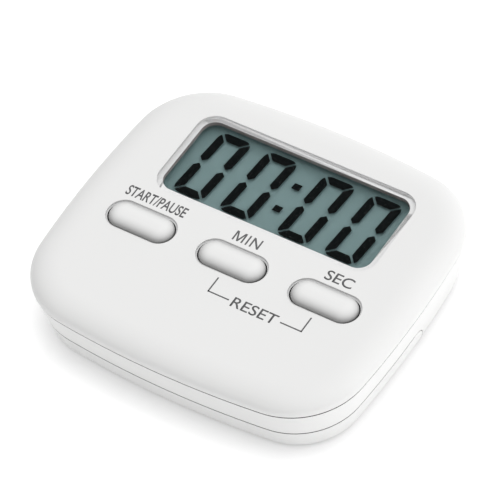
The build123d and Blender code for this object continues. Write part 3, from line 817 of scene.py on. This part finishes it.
def makeBackCover():
    rim, lip = case["rimZ"], case["rimZ"] - lower["seamOpen"]
    edge, gap = lower["lipEdge"], lower["standGap"]
    profile = bottomCorner() + [(wallInset(z), z) for z in (*lower["wallRings"], lip - edge)]
    seam = case["baseInset"] + case["seamDepth"]
    profile += [(wallInset(lip) + edge, lip), (seam, lip), (seam, rim)]
    piece = carve(skin("backCover", outer, profile), standRoom())
    wall, floor = case["baseWall"], case["floor"]
    levels = (floor, *lower["cavityRings"], rim + 1)
    cavity = skin("cavity", outer, [(wallInset(z) + wall, z) for z in levels])
    ledge, wide = standHigh.z + gap, cutter["wide"]
    side = [(y, min(z, ledge + wall)) for y, z in standProfile(gap + wall)]
    shield = barPiece("shield", side, (-wide, wide))
    carve(shield, innerPrism("inner", lower["standInset"] + gap + wall, lower["standBarY"] + gap + wall))
    carve(piece, carve(cavity, shield))
    for x, y in screwPlaces("case_screws"):
        post = [(0, floor - lower["bite"]), (0, lower["postTop"])]
        fuse(piece, skin("post", roundLoop(lower["postRadius"], x, y, 40), post))
    addBatteryBay(piece)
    addBuzzerSeat(piece)
    magnet = magnetSize()
    for x, y in magnet["places"]:
        pad = roundLoop(magnet["radius"] + lower["magnetPad"], x, y, 56)
        fuse(piece, skin("pad", pad, [(0, floor - lower["bite"]), (0, magnet["top"] + lower["magnetPad"])]))
        pocket = roundLoop(magnet["radius"] + 0.05, x, y, 56)
        carve(piece, flaredWell("pocket", pocket, magnet["top"], lower["mouthRound"]))
    for x, y in screwPlaces("case_screws"):
        mouth = roundLoop(lower["screwWell"], x, y, 40)
        carve(piece, flaredWell("well", mouth, lower["screwSeat"], lower["wellMouth"]))
        drill = roundLoop(lower["screwHole"], x, y, 32)
        carve(piece, skin("drill", drill, [(0, 1), (0, lower["postTop"] + 1)]))
    wallFace = case["width"] / 2 - lower["standInset"] - gap
    for side in (-1, 1):
        hub = sorted((side * (wallFace - lower["hubLength"]), side * (wallFace - 0.1)))
        bore = sorted((side * (wallFace - lower["pinLength"]), side * (wallFace + lower["pinRoot"])))
        boss = skin("hub", roundLoop(lower["hubRadius"], steps=40), [(0, hub[0]), (0, hub[1])])
        hole = skin("bore", roundLoop(lower["boreRadius"], steps=32), [(0, bore[0]), (0, bore[1])])
        fuse(piece, alongX(boss, pivot.y, pivot.z))
        carve(piece, alongX(hole, pivot.y, pivot.z))
    place(piece, "case", finish["caseWhite"], "white_case", "back_cover")
    mouth = wallInset(standHigh.z) + lower["seamBand"]
    # painted shade: the groove under the cover's rim is near black
    tint(piece, finish["gapPaintedShade"], lambda c, n: c.z > lip - edge / 2)
    # painted shade: the underside of the base's ledge over the stand is dark
    tint(piece, finish["seamPaintedShade"], lambda c, n: (
        n.z < -0.6 and abs(c.z - standHigh.z - lower["seamGap"]) < 0.1 and nearOutline(c, mouth)))


def bayCentre():
    low, high = boxMm("battery")
    return (low.y + high.y) / 2


def addBatteryBay(piece):
    halfX, halfY = -boxMm("battery_contact_plate")[0].x, lower["bayHalfWidth"]
    wall, ledge, floor, roof = lower["bayWall"], lower["doorLedge"], case["floor"], lower["bayRoof"]
    y = bayCentre()
    shell = rectLoop(2 * (halfX + wall), 2 * (halfY + wall), 1.2, 0, y)
    fuse(piece, skin("bay", shell, [(0, floor - lower["bite"]), (0, roof + 0.5)]))
    carve(piece, skin("bayRoom", rectLoop(2 * halfX, 2 * halfY, 0.6, 0, y), [(0, floor - 1), (0, roof)]))
    mouth = rectLoop(2 * (halfX + ledge), 2 * (halfY + ledge), 1.0, 0, y)
    carve(piece, flaredWell("doorRoom", mouth, floor, lower["mouthRound"]))
    half, reach = lower["latchWidth"] / 2, boxMm("battery_door")[1].x + lower["doorGap"]
    carve(piece, boxPiece("notch", (halfX - 1, reach), (lower["latchY"] - half, lower["latchY"] + half),
                          (-1, floor + 0.02)))
    # Raised signs for the cell's two ends, on the roof of the bay.
    arm, bar = lower["signHalf"], lower["signBar"]
    for x, plus in ((-halfX + 5, True), (halfX - 8, False)):
        fuse(piece, boxPiece("sign", (x - arm, x + arm), (y - bar, y + bar), (roof - 0.28, roof + 0.18)))
        if plus:
            fuse(piece, boxPiece("sign", (x - bar, x + bar), (y - arm, y + arm), (roof - 0.3, roof + 0.2)))


def addBuzzerSeat(piece):
    plateLow, plateHigh = boxMm("buzzer_plate")
    x, y = (plateLow.x + plateHigh.x) / 2, (plateLow.y + plateHigh.y) / 2
    radius, floor = (plateHigh.x - plateLow.x) / 2, case["floor"]
    seat = skin("seat", roundLoop(radius + lower["buzzerWall"], x, y, 64),
                [(0, floor - lower["bite"]), (0, plateLow.z + lower["buzzerLip"])])
    carve(seat, skin("ledge", roundLoop(radius + 0.1, x, y, 64), [(0, plateLow.z), (0, 9)]))
    carve(seat, skin("well", roundLoop(radius - lower["buzzerLedge"], x, y, 64), [(0, 0), (0, 9)]))
    fuse(piece, seat)
    drill = flaredWell("drill", roundLoop(lower["soundHole"], 0, 0, 20), floor + 1, lower["soundMouth"])
    spots = [(x, y, 0)]
    for i in range(lower["soundHoles"]):
        a = math.tau * i / lower["soundHoles"]
        spots.append((x + lower["soundRing"] * math.cos(a), y + lower["soundRing"] * math.sin(a), 0))
    carve(piece, repeatAt("soundHoles", drill, spots, finish["caseWhite"]))


def magnetSize():
    low, high = boxMm("back_magnets")
    radius, y = (high.y - low.y) / 2, (high.y + low.y) / 2
    return dict(radius=radius, low=low.z, top=high.z, places=[(low.x + radius, y), (high.x - radius, y)])


door = dict(edge=0.2, corner=0.85, slot=0.6, slotLength=6.5, arrow=1.9, arrowWidth=0.7, arrowX=12.0,
            ribs=5, ribPitch=1.3, ribHalf=3.2, ribHeight=0.3, ribStart=2.0,
            scoop=3.4, scoopHalf=1.9, scoopBack=2.6, scoopDepth=0.8)


def makeDoor():
    low, high = boxMm("battery_door")
    y, half = bayCentre(), lower["latchWidth"] / 2 - lower["doorGap"]
    end = -low.x
    latchY, edge = lower["latchY"], door["edge"]
    plate = rectLoop(2 * end, high.y - low.y, door["corner"], 0, y)
    piece = skin("batteryDoor", plate, [(edge, low.z), (0, low.z + edge), (0, high.z - 0.05), (0.05, high.z)])
    tongue = rectLoop(high.x - end + 1.5, 2 * half, 0.5, (high.x + end - 1.5) / 2, latchY)
    fuse(piece, skin("tongue", tongue, [(edge, low.z), (0, low.z + edge), (0, high.z)]))
    outerEnd = end + lower["doorGap"]
    for side in (-1, 1):
        slotY = latchY + side * (lower["latchWidth"] + door["slot"]) / 2
        span = (slotY - door["slot"] / 2, slotY + door["slot"] / 2)
        carve(piece, boxPiece("slot", (outerEnd - door["slotLength"], outerEnd + 1), span, (-1, high.z + 1)))
    reach = [(0, -door["scoopHalf"]), (0, door["scoopHalf"])]
    scoop = alongX(skin("scoop", roundLoop(door["scoop"], steps=48), reach), 0, 0)
    scoop.data.transform(quarterTurn("Z"))
    hollow = Vector((outerEnd - door["scoopBack"], latchY, door["scoopDepth"] - door["scoop"]))
    scoop.data.transform(Matrix.Translation(hollow * mm))
    carve(piece, scoop)
    # An arrow and a row of grip grooves show which end opens.
    tip, size, wide = door["arrowX"], door["arrow"], door["arrow"] * door["arrowWidth"]
    arrow = bmesh.new()
    shape = [(tip - size, y - wide), (tip, y), (tip - size, y + wide)]
    inkPlate(arrow, shape, low.z - 0.2, 0.2 + door["ribHeight"])
    bmesh.ops.recalc_face_normals(arrow, faces=arrow.faces)
    carve(piece, meshPiece("arrow", arrow))
    long, deep = door["ribHalf"], door["ribHeight"]
    rod = [(0.1, -long), (0, 0.1 - long), (0, long - 0.1), (0.1, long)]
    groove = alongX(skin("groove", roundLoop(deep, steps=16), rod), 0, 0)
    groove.data.transform(quarterTurn("Z"))
    first = tip + door["ribStart"]
    spots = [(first + i * door["ribPitch"], y, low.z) for i in range(door["ribs"])]
    carve(piece, repeatAt("gripGrooves", groove, spots, finish["caseWhite"]))
    place(piece, "battery_door", finish["caseWhite"], "white_case", "battery_door")


makeStand()
print("stand made")
makeBackCover()
print("back cover made")
makeDoor()
print("battery door made")

screw = dict(
    headEdge=0.45, crossHalf=0.2, crossReach=0.62, crossDepth=0.65, threadStart=0.35,
    threadPitch=0.62, threadDepth=0.17, threadRise=0.14, threadCrest=0.3, threadFall=0.52,
    heads={"case_screws": (1.3, 1.0), "board_screws": (0.9, 0.8)},  # head height and shank radius
)


def makeScrews(node, name):
    # One pan-head thread-forming screw with a cross recess, copied to every screw place of its node.
    low, high = boxMm(node)
    height, shank = screw["heads"][node]
    r = screwHead[node]
    tip = high.z - low.z - height
    edge = screw["headEdge"] * height
    profile = []
    for i in range(7):
        a = math.radians(90 * i / 6)
        profile.append((edge * (1 - math.sin(a)), -height + edge * (1 - math.cos(a))))
    z, inset = screw["threadStart"], r - shank
    crest = inset + screw["threadDepth"]
    profile += [(0, -0.06), (0.06, 0), (inset, 0), (inset, z)]
    while z < tip - shank - screw["threadPitch"]:
        profile += [(crest, z + screw["threadRise"]), (crest, z + screw["threadCrest"]),
                    (inset, z + screw["threadFall"])]
        z += screw["threadPitch"]
    profile += [(inset, tip - shank), (r - 0.25 * shank, tip)]
    piece = skin("screw", roundLoop(r, steps=40), profile)
    arm, half = r * screw["crossReach"], screw["crossHalf"]
    deep = -height * (1 - screw["crossDepth"])
    carve(piece, boxPiece("cross", (-arm, arm), (-half, half), (-height - 1, deep)))
    carve(piece, boxPiece("cross", (-half, half), (-arm, arm), (-height - 1, deep)))
    spots = [(x, y, low.z + height) for x, y in screwPlaces(node)]
    whole = repeatAt(name, piece, spots, finish["zincSteel"], turn=0.7)
    place(whole, "case", finish["zincSteel"], "zinc", node)


def makeMagnets():
    magnet = magnetSize()
    r, edge, low, top = magnet["radius"], 0.2, magnet["low"], magnet["top"]
    rim = [(edge, low), (0.06, low + 0.07), (0, low + edge), (0, top - edge), (edge, top)]
    disc = skin("disc", roundLoop(r, steps=72), rim)
    whole = repeatAt("backMagnets", disc, [(x, y, 0) for x, y in magnet["places"]], finish["ferriteBlack"])
    place(whole, "case", finish["ferriteBlack"], "ferrite", "back_magnets")


cell = dict(steelRadius=5.1, sleeve=0.14, nubRadius=1.9, nubLength=1.0, bandLength=7.0, endRound=0.4)


def makeBattery():
    low, high = boxMm("battery")
    y, z = (low.y + high.y) / 2, (low.z + high.z) / 2
    r, start, e = cell["steelRadius"], low.x + cell["nubLength"], cell["endRound"]
    nub, end = r - cell["nubRadius"], high.x
    steel = [
        (nub + 0.3, low.x), (nub, low.x + 0.3), (nub, start),  # the raised end
        (1.2, start), (1.0, start + 0.15), (e, start + 0.15), (0.1, start + 0.25), (0, start + 0.5),
        (0, end - 0.5), (0.1, end - 0.2), (e, end), (1.4, end), (1.6, end - 0.15),  # the flat end
    ]
    can = alongX(skin("cellCan", roundLoop(r, steps=64), steel), y, z)
    place(can, "case", finish["nickelSteel"], "nickel", "battery")
    radius = (high.z - low.z) / 2
    thick = cell["sleeve"]
    first, last = start + 0.3, high.x - 0.25
    sleeve = [
        (0.5, first), (0.12, first + 0.08), (0, first + 0.3), (0, first + cell["bandLength"]),
        (0, last - 0.3), (0.12, last - 0.08), (0.5, last),
        (0.5, last - 0.1), (thick, last - 0.4), (thick, first + 0.4), (0.5, first + 0.1),
    ]
    jacket = alongX(skin("cellJacket", roundLoop(radius, steps=64), sleeve, closed=True), y, z)
    place(jacket, "case", finish["sleeveGreen"], "cell_jacket")
    tint(jacket, finish["sleeveSilver"], lambda c, n: c.x < first + cell["bandLength"])


spring = dict(wire=0.28, radius=3.0, tipRadius=2.4, turns=3.6, steps=28, flatTurn=0.14)


def makeSpring():
    # A helix of wire from the plate to the cell's flat end.
    low, high = boxMm("battery_spring")
    y, z = (low.y + high.y) / 2, (low.z + high.z) / 2
    curve = bpy.data.curves.new("batterySpring", "CURVE")
    curve.dimensions = "3D"
    curve.bevel_depth = spring["wire"] * mm
    curve.bevel_resolution = 5
    curve.use_fill_caps = True
    line = curve.splines.new("NURBS")
    count = round(spring["turns"] * spring["steps"])
    line.points.add(count)
    reach = high.x - low.x - 2 * spring["wire"]
    for i, point in enumerate(line.points):
        t = i / count
        a = math.tau * spring["turns"] * t
        r = spring["tipRadius"] + (spring["radius"] - spring["tipRadius"]) * t
        rise = min(1, max(0, (t - spring["flatTurn"]) / (1 - 2 * spring["flatTurn"])))
        spot = Vector((low.x + spring["wire"] + reach * rise, y + r * math.cos(a), z + r * math.sin(a)))
        point.co = (*(spot * mm), 1)
    line.order_u = 3
    line.use_endpoint_u = True
    maker = bpy.data.objects.new("spring", curve)
    bpy.context.scene.collection.objects.link(maker)
    mesh = bpy.data.meshes.new_from_object(maker.evaluated_get(bpy.context.evaluated_depsgraph_get()))
    bpy.data.objects.remove(maker)
    piece = bpy.data.objects.new("batterySpring", mesh)
    bpy.context.scene.collection.objects.link(piece)
    place(piece, "case", finish["nickelSteel"], "nickel", "battery_spring")


makeScrews("case_screws", "caseScrews")
makeScrews("board_screws", "boardScrews")
makeMagnets()
makeBattery()
makeSpring()
print("screws, magnets and cell made")

board = dict(
    padRadius=0.42, padHeight=0.22, padPitch=1.27, padCount=17, padY=-13.6,
    trace=0.3, traceHeight=0.035, chipPitch=0.45, chipReach=1.4, turnGap=1.0, turnStep=0.55, turnPad=5,
)


def makeSolder():
    # A row of solder joints along the board's front edge.
    low = boxMm("circuit_board")[0]
    r, tall = board["padRadius"], board["padHeight"]
    drop = skin("drop", roundLoop(r, steps=14), [(0, 0), (0.06, -0.05), (0.2, -0.14), (0.34, -tall)])
    first = -board["padPitch"] * (board["padCount"] - 1) / 2
    spots = [(first + i * board["padPitch"], board["padY"], low.z) for i in range(board["padCount"])]
    place(repeatAt("solderJoints", drop, spots, finish["solder"]), "case", finish["solder"], "tin_can")


def makeTraces():
    # Raised tracks under the green mask, from the joints to the chip.
    top = boxMm("circuit_board")[0].z
    chipLow, chipHigh = boxMm("controller_blob")
    bm = bmesh.new()
    half = board["trace"] / 2
    first = -board["padPitch"] * (board["padCount"] - 1) / 2
    for i in range(0, board["padCount"], 2):
        x = first + i * board["padPitch"]
        turnY = chipLow.y - board["turnGap"] - board["turnStep"] * abs(i - board["turnPad"])
        aimX = (chipLow.x + chipHigh.x) / 2 + (i - board["padCount"] / 2) * board["chipPitch"]
        left, right = sorted((x, aimX))
        runs = [
            (x - half, x + half, board["padY"], turnY),
            (left - half, right + half, turnY - half, turnY + half),
            (aimX - half, aimX + half, turnY, chipLow.y + board["chipReach"]),
        ]
        for run in runs:
            inkPlate(bm, boxOutline(*run), top - board["traceHeight"], board["traceHeight"])
    bmesh.ops.recalc_face_normals(bm, faces=bm.faces)
    piece = meshPiece("boardTracks", bm)
    paintWhole(piece, finish["copperTrace"])
    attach(piece, "case")


makeSolder()
makeTraces()

dome = dict(profile=[  # inset from the outer edge, and rise
    (1.65, 0.65), (0.55, 0.2), (0.4, 0.0), (0.0, 0.0), (0.03, 0.1),
    (0.3, 0.32), (0.85, 0.53), (1.08, 0.7), (1.16, 1.0), (1.26, 1.1),
])


def makeDomes():
    # The rubber domes under the keys, each given a mesh of its own.
    for base in keyNodes.values():
        low, high = boxMm(base + "_dome")
        x, y = (low.x + high.x) / 2, (low.y + high.y) / 2
        profile = [(inset, low.z + rise) for inset, rise in dome["profile"]]
        piece = skin(base + "RubberDome", roundLoop((high.x - low.x) / 2, x, y, 56), profile)
        place(piece, "case", finish["siliconeGrey"], "silicone", base + "_dome")
        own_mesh(piece)


makeDomes()

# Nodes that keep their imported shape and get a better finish.
kept = {
    "lcd_frame": "frameBlack", "zebra_strip": "elastomerGrey", "circuit_board": "boardGreen",
    "controller_blob": "epoxyBlack", "timing_crystal": "tinnedSteel", "capacitors": "chipTan",
    "resistors": "chipBlack", "buzzer_coil": "ferriteBlack", "keypad_mat": "siliconeGrey",
    "start_pause_contact_pill": "carbonBlack", "minute_contact_pill": "carbonBlack",
    "second_contact_pill": "carbonBlack", "buzzer_plate": "brassPlate", "buzzer_ceramic": "silveredCeramic",
    "battery_contact_plate": "nickelSteel", "battery_spring_plate": "nickelSteel",
    "buzzer_lead_red": "redPvc", "battery_lead_red": "redPvc",
    "buzzer_lead_black": "blackPvc", "battery_lead_black": "blackPvc",
}
for node, name in kept.items():
    mesh = frame["nodes"][node].data
    mesh.materials.clear()
    mesh.materials.append(finish[name])
print("kept parts finished")


legend = dict(thick=0.02, line=0.3, bracketTop=-10.26, bracketLine=-14.03, wordLeft=4.78, wordRight=16.45)


def joinPrint(piece):
    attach(piece, "case")


def sortParts(parts, spot):  # by place, so that the lettering's mesh has the same order in every run
    ranked = sorted(parts, key=lambda part: tuple(spot(part)))
    rank = {part: i for i, part in enumerate(ranked)}
    parts.sort(key=lambda part: rank[part])


def printedWord(name, text, x, y, width, height, bold):
    # Flat printed lettering on the face, fitted to its place by width and capital height.
    data = bpy.data.curves.new(name, "FONT")
    data.body = text
    data.size = 10
    data.align_x = "LEFT"
    data.offset = bold
    data.resolution_u = 6
    maker = bpy.data.objects.new(name, data)
    bpy.context.scene.collection.objects.link(maker)
    graph = bpy.context.evaluated_depsgraph_get()
    mesh = bpy.data.meshes.new_from_object(maker.evaluated_get(graph))
    bpy.data.objects.remove(maker)
    xs = [v.co.x for v in mesh.vertices]
    ys = [v.co.y for v in mesh.vertices]
    scaleX = width / (max(xs) - min(xs))
    scaleY = height / (max(ys) - min(ys))
    bm = bmesh.new()
    bm.from_mesh(mesh)
    for v in bm.verts:
        v.co = Vector(((x + (v.co.x - min(xs)) * scaleX) * mm, (y + (v.co.y - min(ys)) * scaleY) * mm, 0))
    grown = bmesh.ops.extrude_face_region(bm, geom=list(bm.faces))
    for v in grown["geom"]:
        if isinstance(v, bmesh.types.BMVert):
            v.co.z += legend["thick"] * mm
    for v in bm.verts:
        v.co.z += (case["faceZ"] - legend["thick"] / 4) * mm
    bmesh.ops.recalc_face_normals(bm, faces=bm.faces)
    sortParts(bm.verts, lambda v: v.co)
    sortParts(bm.faces, lambda f: f.calc_center_median())
    bm.to_mesh(mesh)
    bm.free()
    piece = bpy.data.objects.new(name, mesh)
    bpy.context.scene.collection.objects.link(piece)
    mesh.materials.clear()
    mesh.materials.append(finish["legendInk"])
    joinPrint(piece)


def cutPrint(name, corner, outlines):  # print given as plain outlines
    bm = bmesh.new()
    z = case["faceZ"] - legend["thick"] / 4
    for outline in outlines:
        inkPlate(bm, [(corner[0] + x, corner[1] + y) for x, y in outline], z, legend["thick"])
    bmesh.ops.recalc_face_normals(bm, faces=bm.faces)
    piece = meshPiece(name, bm)
    piece.data.materials.append(finish["legendInk"])
    joinPrint(piece)


def makeBracket():
    # The line that ties the two right keys to the word between them.
    half, top, line = legend["line"] / 2, legend["bracketTop"], legend["bracketLine"]
    left, right = boxMiddle("minute_key"), boxMiddle("second_key")
    cutPrint("resetBracket", (0, 0), [
        boxOutline(left - half, left + half, line - half, top),
        boxOutline(right - half, right + half, line - half, top),
        boxOutline(left - half, legend["wordLeft"], line - half, line + half),
        boxOutline(legend["wordRight"], right + half, line - half, line + half),
    ])


def boxMiddle(node):
    low, high = boxMm(node)
    return (low.x + high.x) / 2


printedWord("startPauseWord", "START/PAUSE", -28.25, -1.0, 13.85, 2.58, 0.14)
cutPrint("minuteWord", (-3.0, -0.95), [
    [(0, 0), (0, 2.45), (0.48, 2.45), (1.18, 0.62), (1.88, 2.45), (2.36, 2.45), (2.36, 0),
     (2.02, 0), (2.02, 1.9), (1.34, 0), (1.02, 0), (0.34, 1.9), (0.34, 0)],
    [(2.98, 0), (2.98, 2.45), (3.32, 2.45), (3.32, 0)],
    [(3.96, 0), (3.96, 2.45), (4.32, 2.45), (5.66, 0.62), (5.66, 2.45), (6.0, 2.45),
     (6.0, 0), (5.64, 0), (4.3, 1.83), (4.3, 0)],
])
printedWord("secondWord", "SEC", 18.1, -0.95, 6.1, 2.45, 0.07)
printedWord("resetWord", "RESET", 5.55, -15.2, 10.1, 2.45, 0.06)
makeBracket()
print("legends made")


studio = dict(azimuth=39.25, elevation=50.285, roll=-8.9, distance=706.1, lens=260.7, right=0.60, up=-1.733)


def makeCamera():
    az, el, roll = (math.radians(studio[k]) for k in ("azimuth", "elevation", "roll"))
    back = Vector((math.sin(az) * math.cos(el), -math.cos(az) * math.cos(el), math.sin(el)))
    right = Vector((math.cos(az), math.sin(az), 0))
    up = back.cross(right)
    r = math.cos(roll) * right + math.sin(roll) * up
    u = -math.sin(roll) * right + math.cos(roll) * up
    data = bpy.data.cameras.new("camera")
    data.lens = studio["lens"]
    data.sensor_width = 36
    data.clip_start, data.clip_end = 0.01, 20
    camera = bpy.data.objects.new("camera", data)
    bpy.context.scene.collection.objects.link(camera)
    away = r * studio["right"] + u * studio["up"] + back * studio["distance"]
    spot = (away + Vector((0, 0, case["faceZ"]))) * mm
    turn = Matrix((r, u, back)).transposed().to_4x4()
    camera.matrix_world = Matrix.Translation(spot) @ turn
    bpy.context.scene.camera = camera


paper = dict(white=0.93, glow=0.33, shade=0.40, shadeReach=0.0065, size=3.0, gap=0.00002)  # metres


def makeFloor():
    bm = bmesh.new()
    bmesh.ops.create_grid(bm, x_segments=2, y_segments=2, size=paper["size"])
    floor = meshPiece("floor", bm)
    material, nodes, links, shader = nodeSet("paperFloor")
    shader.inputs["Roughness"].default_value = 0.9
    shader.inputs["Specular IOR Level"].default_value = 0.0
    shader.inputs["Emission Color"].default_value = (1, 1, 1, 1)
    # painted shadow: an occlusion test darkens the floor's colour and its glow close to the case
    near = nodes.new("ShaderNodeAmbientOcclusion")
    near.inputs["Distance"].default_value = paper["shadeReach"]
    near.samples = 8
    shade = nodes.new("ShaderNodeMapRange")
    shade.inputs["To Min"].default_value = 1 - paper["shade"]
    glow = nodes.new("ShaderNodeMath")
    glow.operation = "MULTIPLY"
    glow.inputs[1].default_value = paper["glow"]
    colour = nodes.new("ShaderNodeVectorMath")
    colour.operation = "SCALE"
    colour.inputs[0].default_value = (paper["white"],) * 3
    links.new(near.outputs["AO"], shade.inputs["Value"])
    links.new(shade.outputs["Result"], glow.inputs[0])
    links.new(shade.outputs["Result"], colour.inputs["Scale"])
    links.new(glow.outputs[0], shader.inputs["Emission Strength"])
    links.new(colour.outputs[0], shader.inputs["Base Color"])
    floor.data.materials.append(material)
    floor.location.z = -paper["gap"]


sky = dict(level=0.318, lean=(0.418, 0.453, 1.09))  # the soft light grows towards this direction


def makeWorld():
    world = bpy.data.worlds.new("studio")
    world.use_nodes = True
    nodes, links = world.node_tree.nodes, world.node_tree.links
    coords = nodes.new("ShaderNodeTexCoord")
    dot = nodes.new("ShaderNodeVectorMath")
    dot.operation = "DOT_PRODUCT"
    dot.inputs[1].default_value = sky["lean"]
    level = nodes.new("ShaderNodeMath")
    level.operation = "ADD"
    level.inputs[1].default_value = sky["level"]
    links.new(coords.outputs["Generated"], dot.inputs[0])
    links.new(dot.outputs["Value"], level.inputs[0])
    above = nodes.new("ShaderNodeMath")
    above.operation = "MAXIMUM"
    above.inputs[1].default_value = 0.0
    links.new(level.outputs[0], above.inputs[0])
    links.new(above.outputs[0], nodes["Background"].inputs["Strength"])
    nodes["Background"].inputs["Color"].default_value = (1, 1, 1, 1)
    bpy.context.scene.world = world


makeCamera()
makeFloor()
makeWorld()
scene = bpy.context.scene
scene.cycles.transparent_max_bounces = 24  # the display is a stack of clear layers
scene.view_settings.view_transform = "Standard"
scene.view_settings.look = "None"

print("studio made")
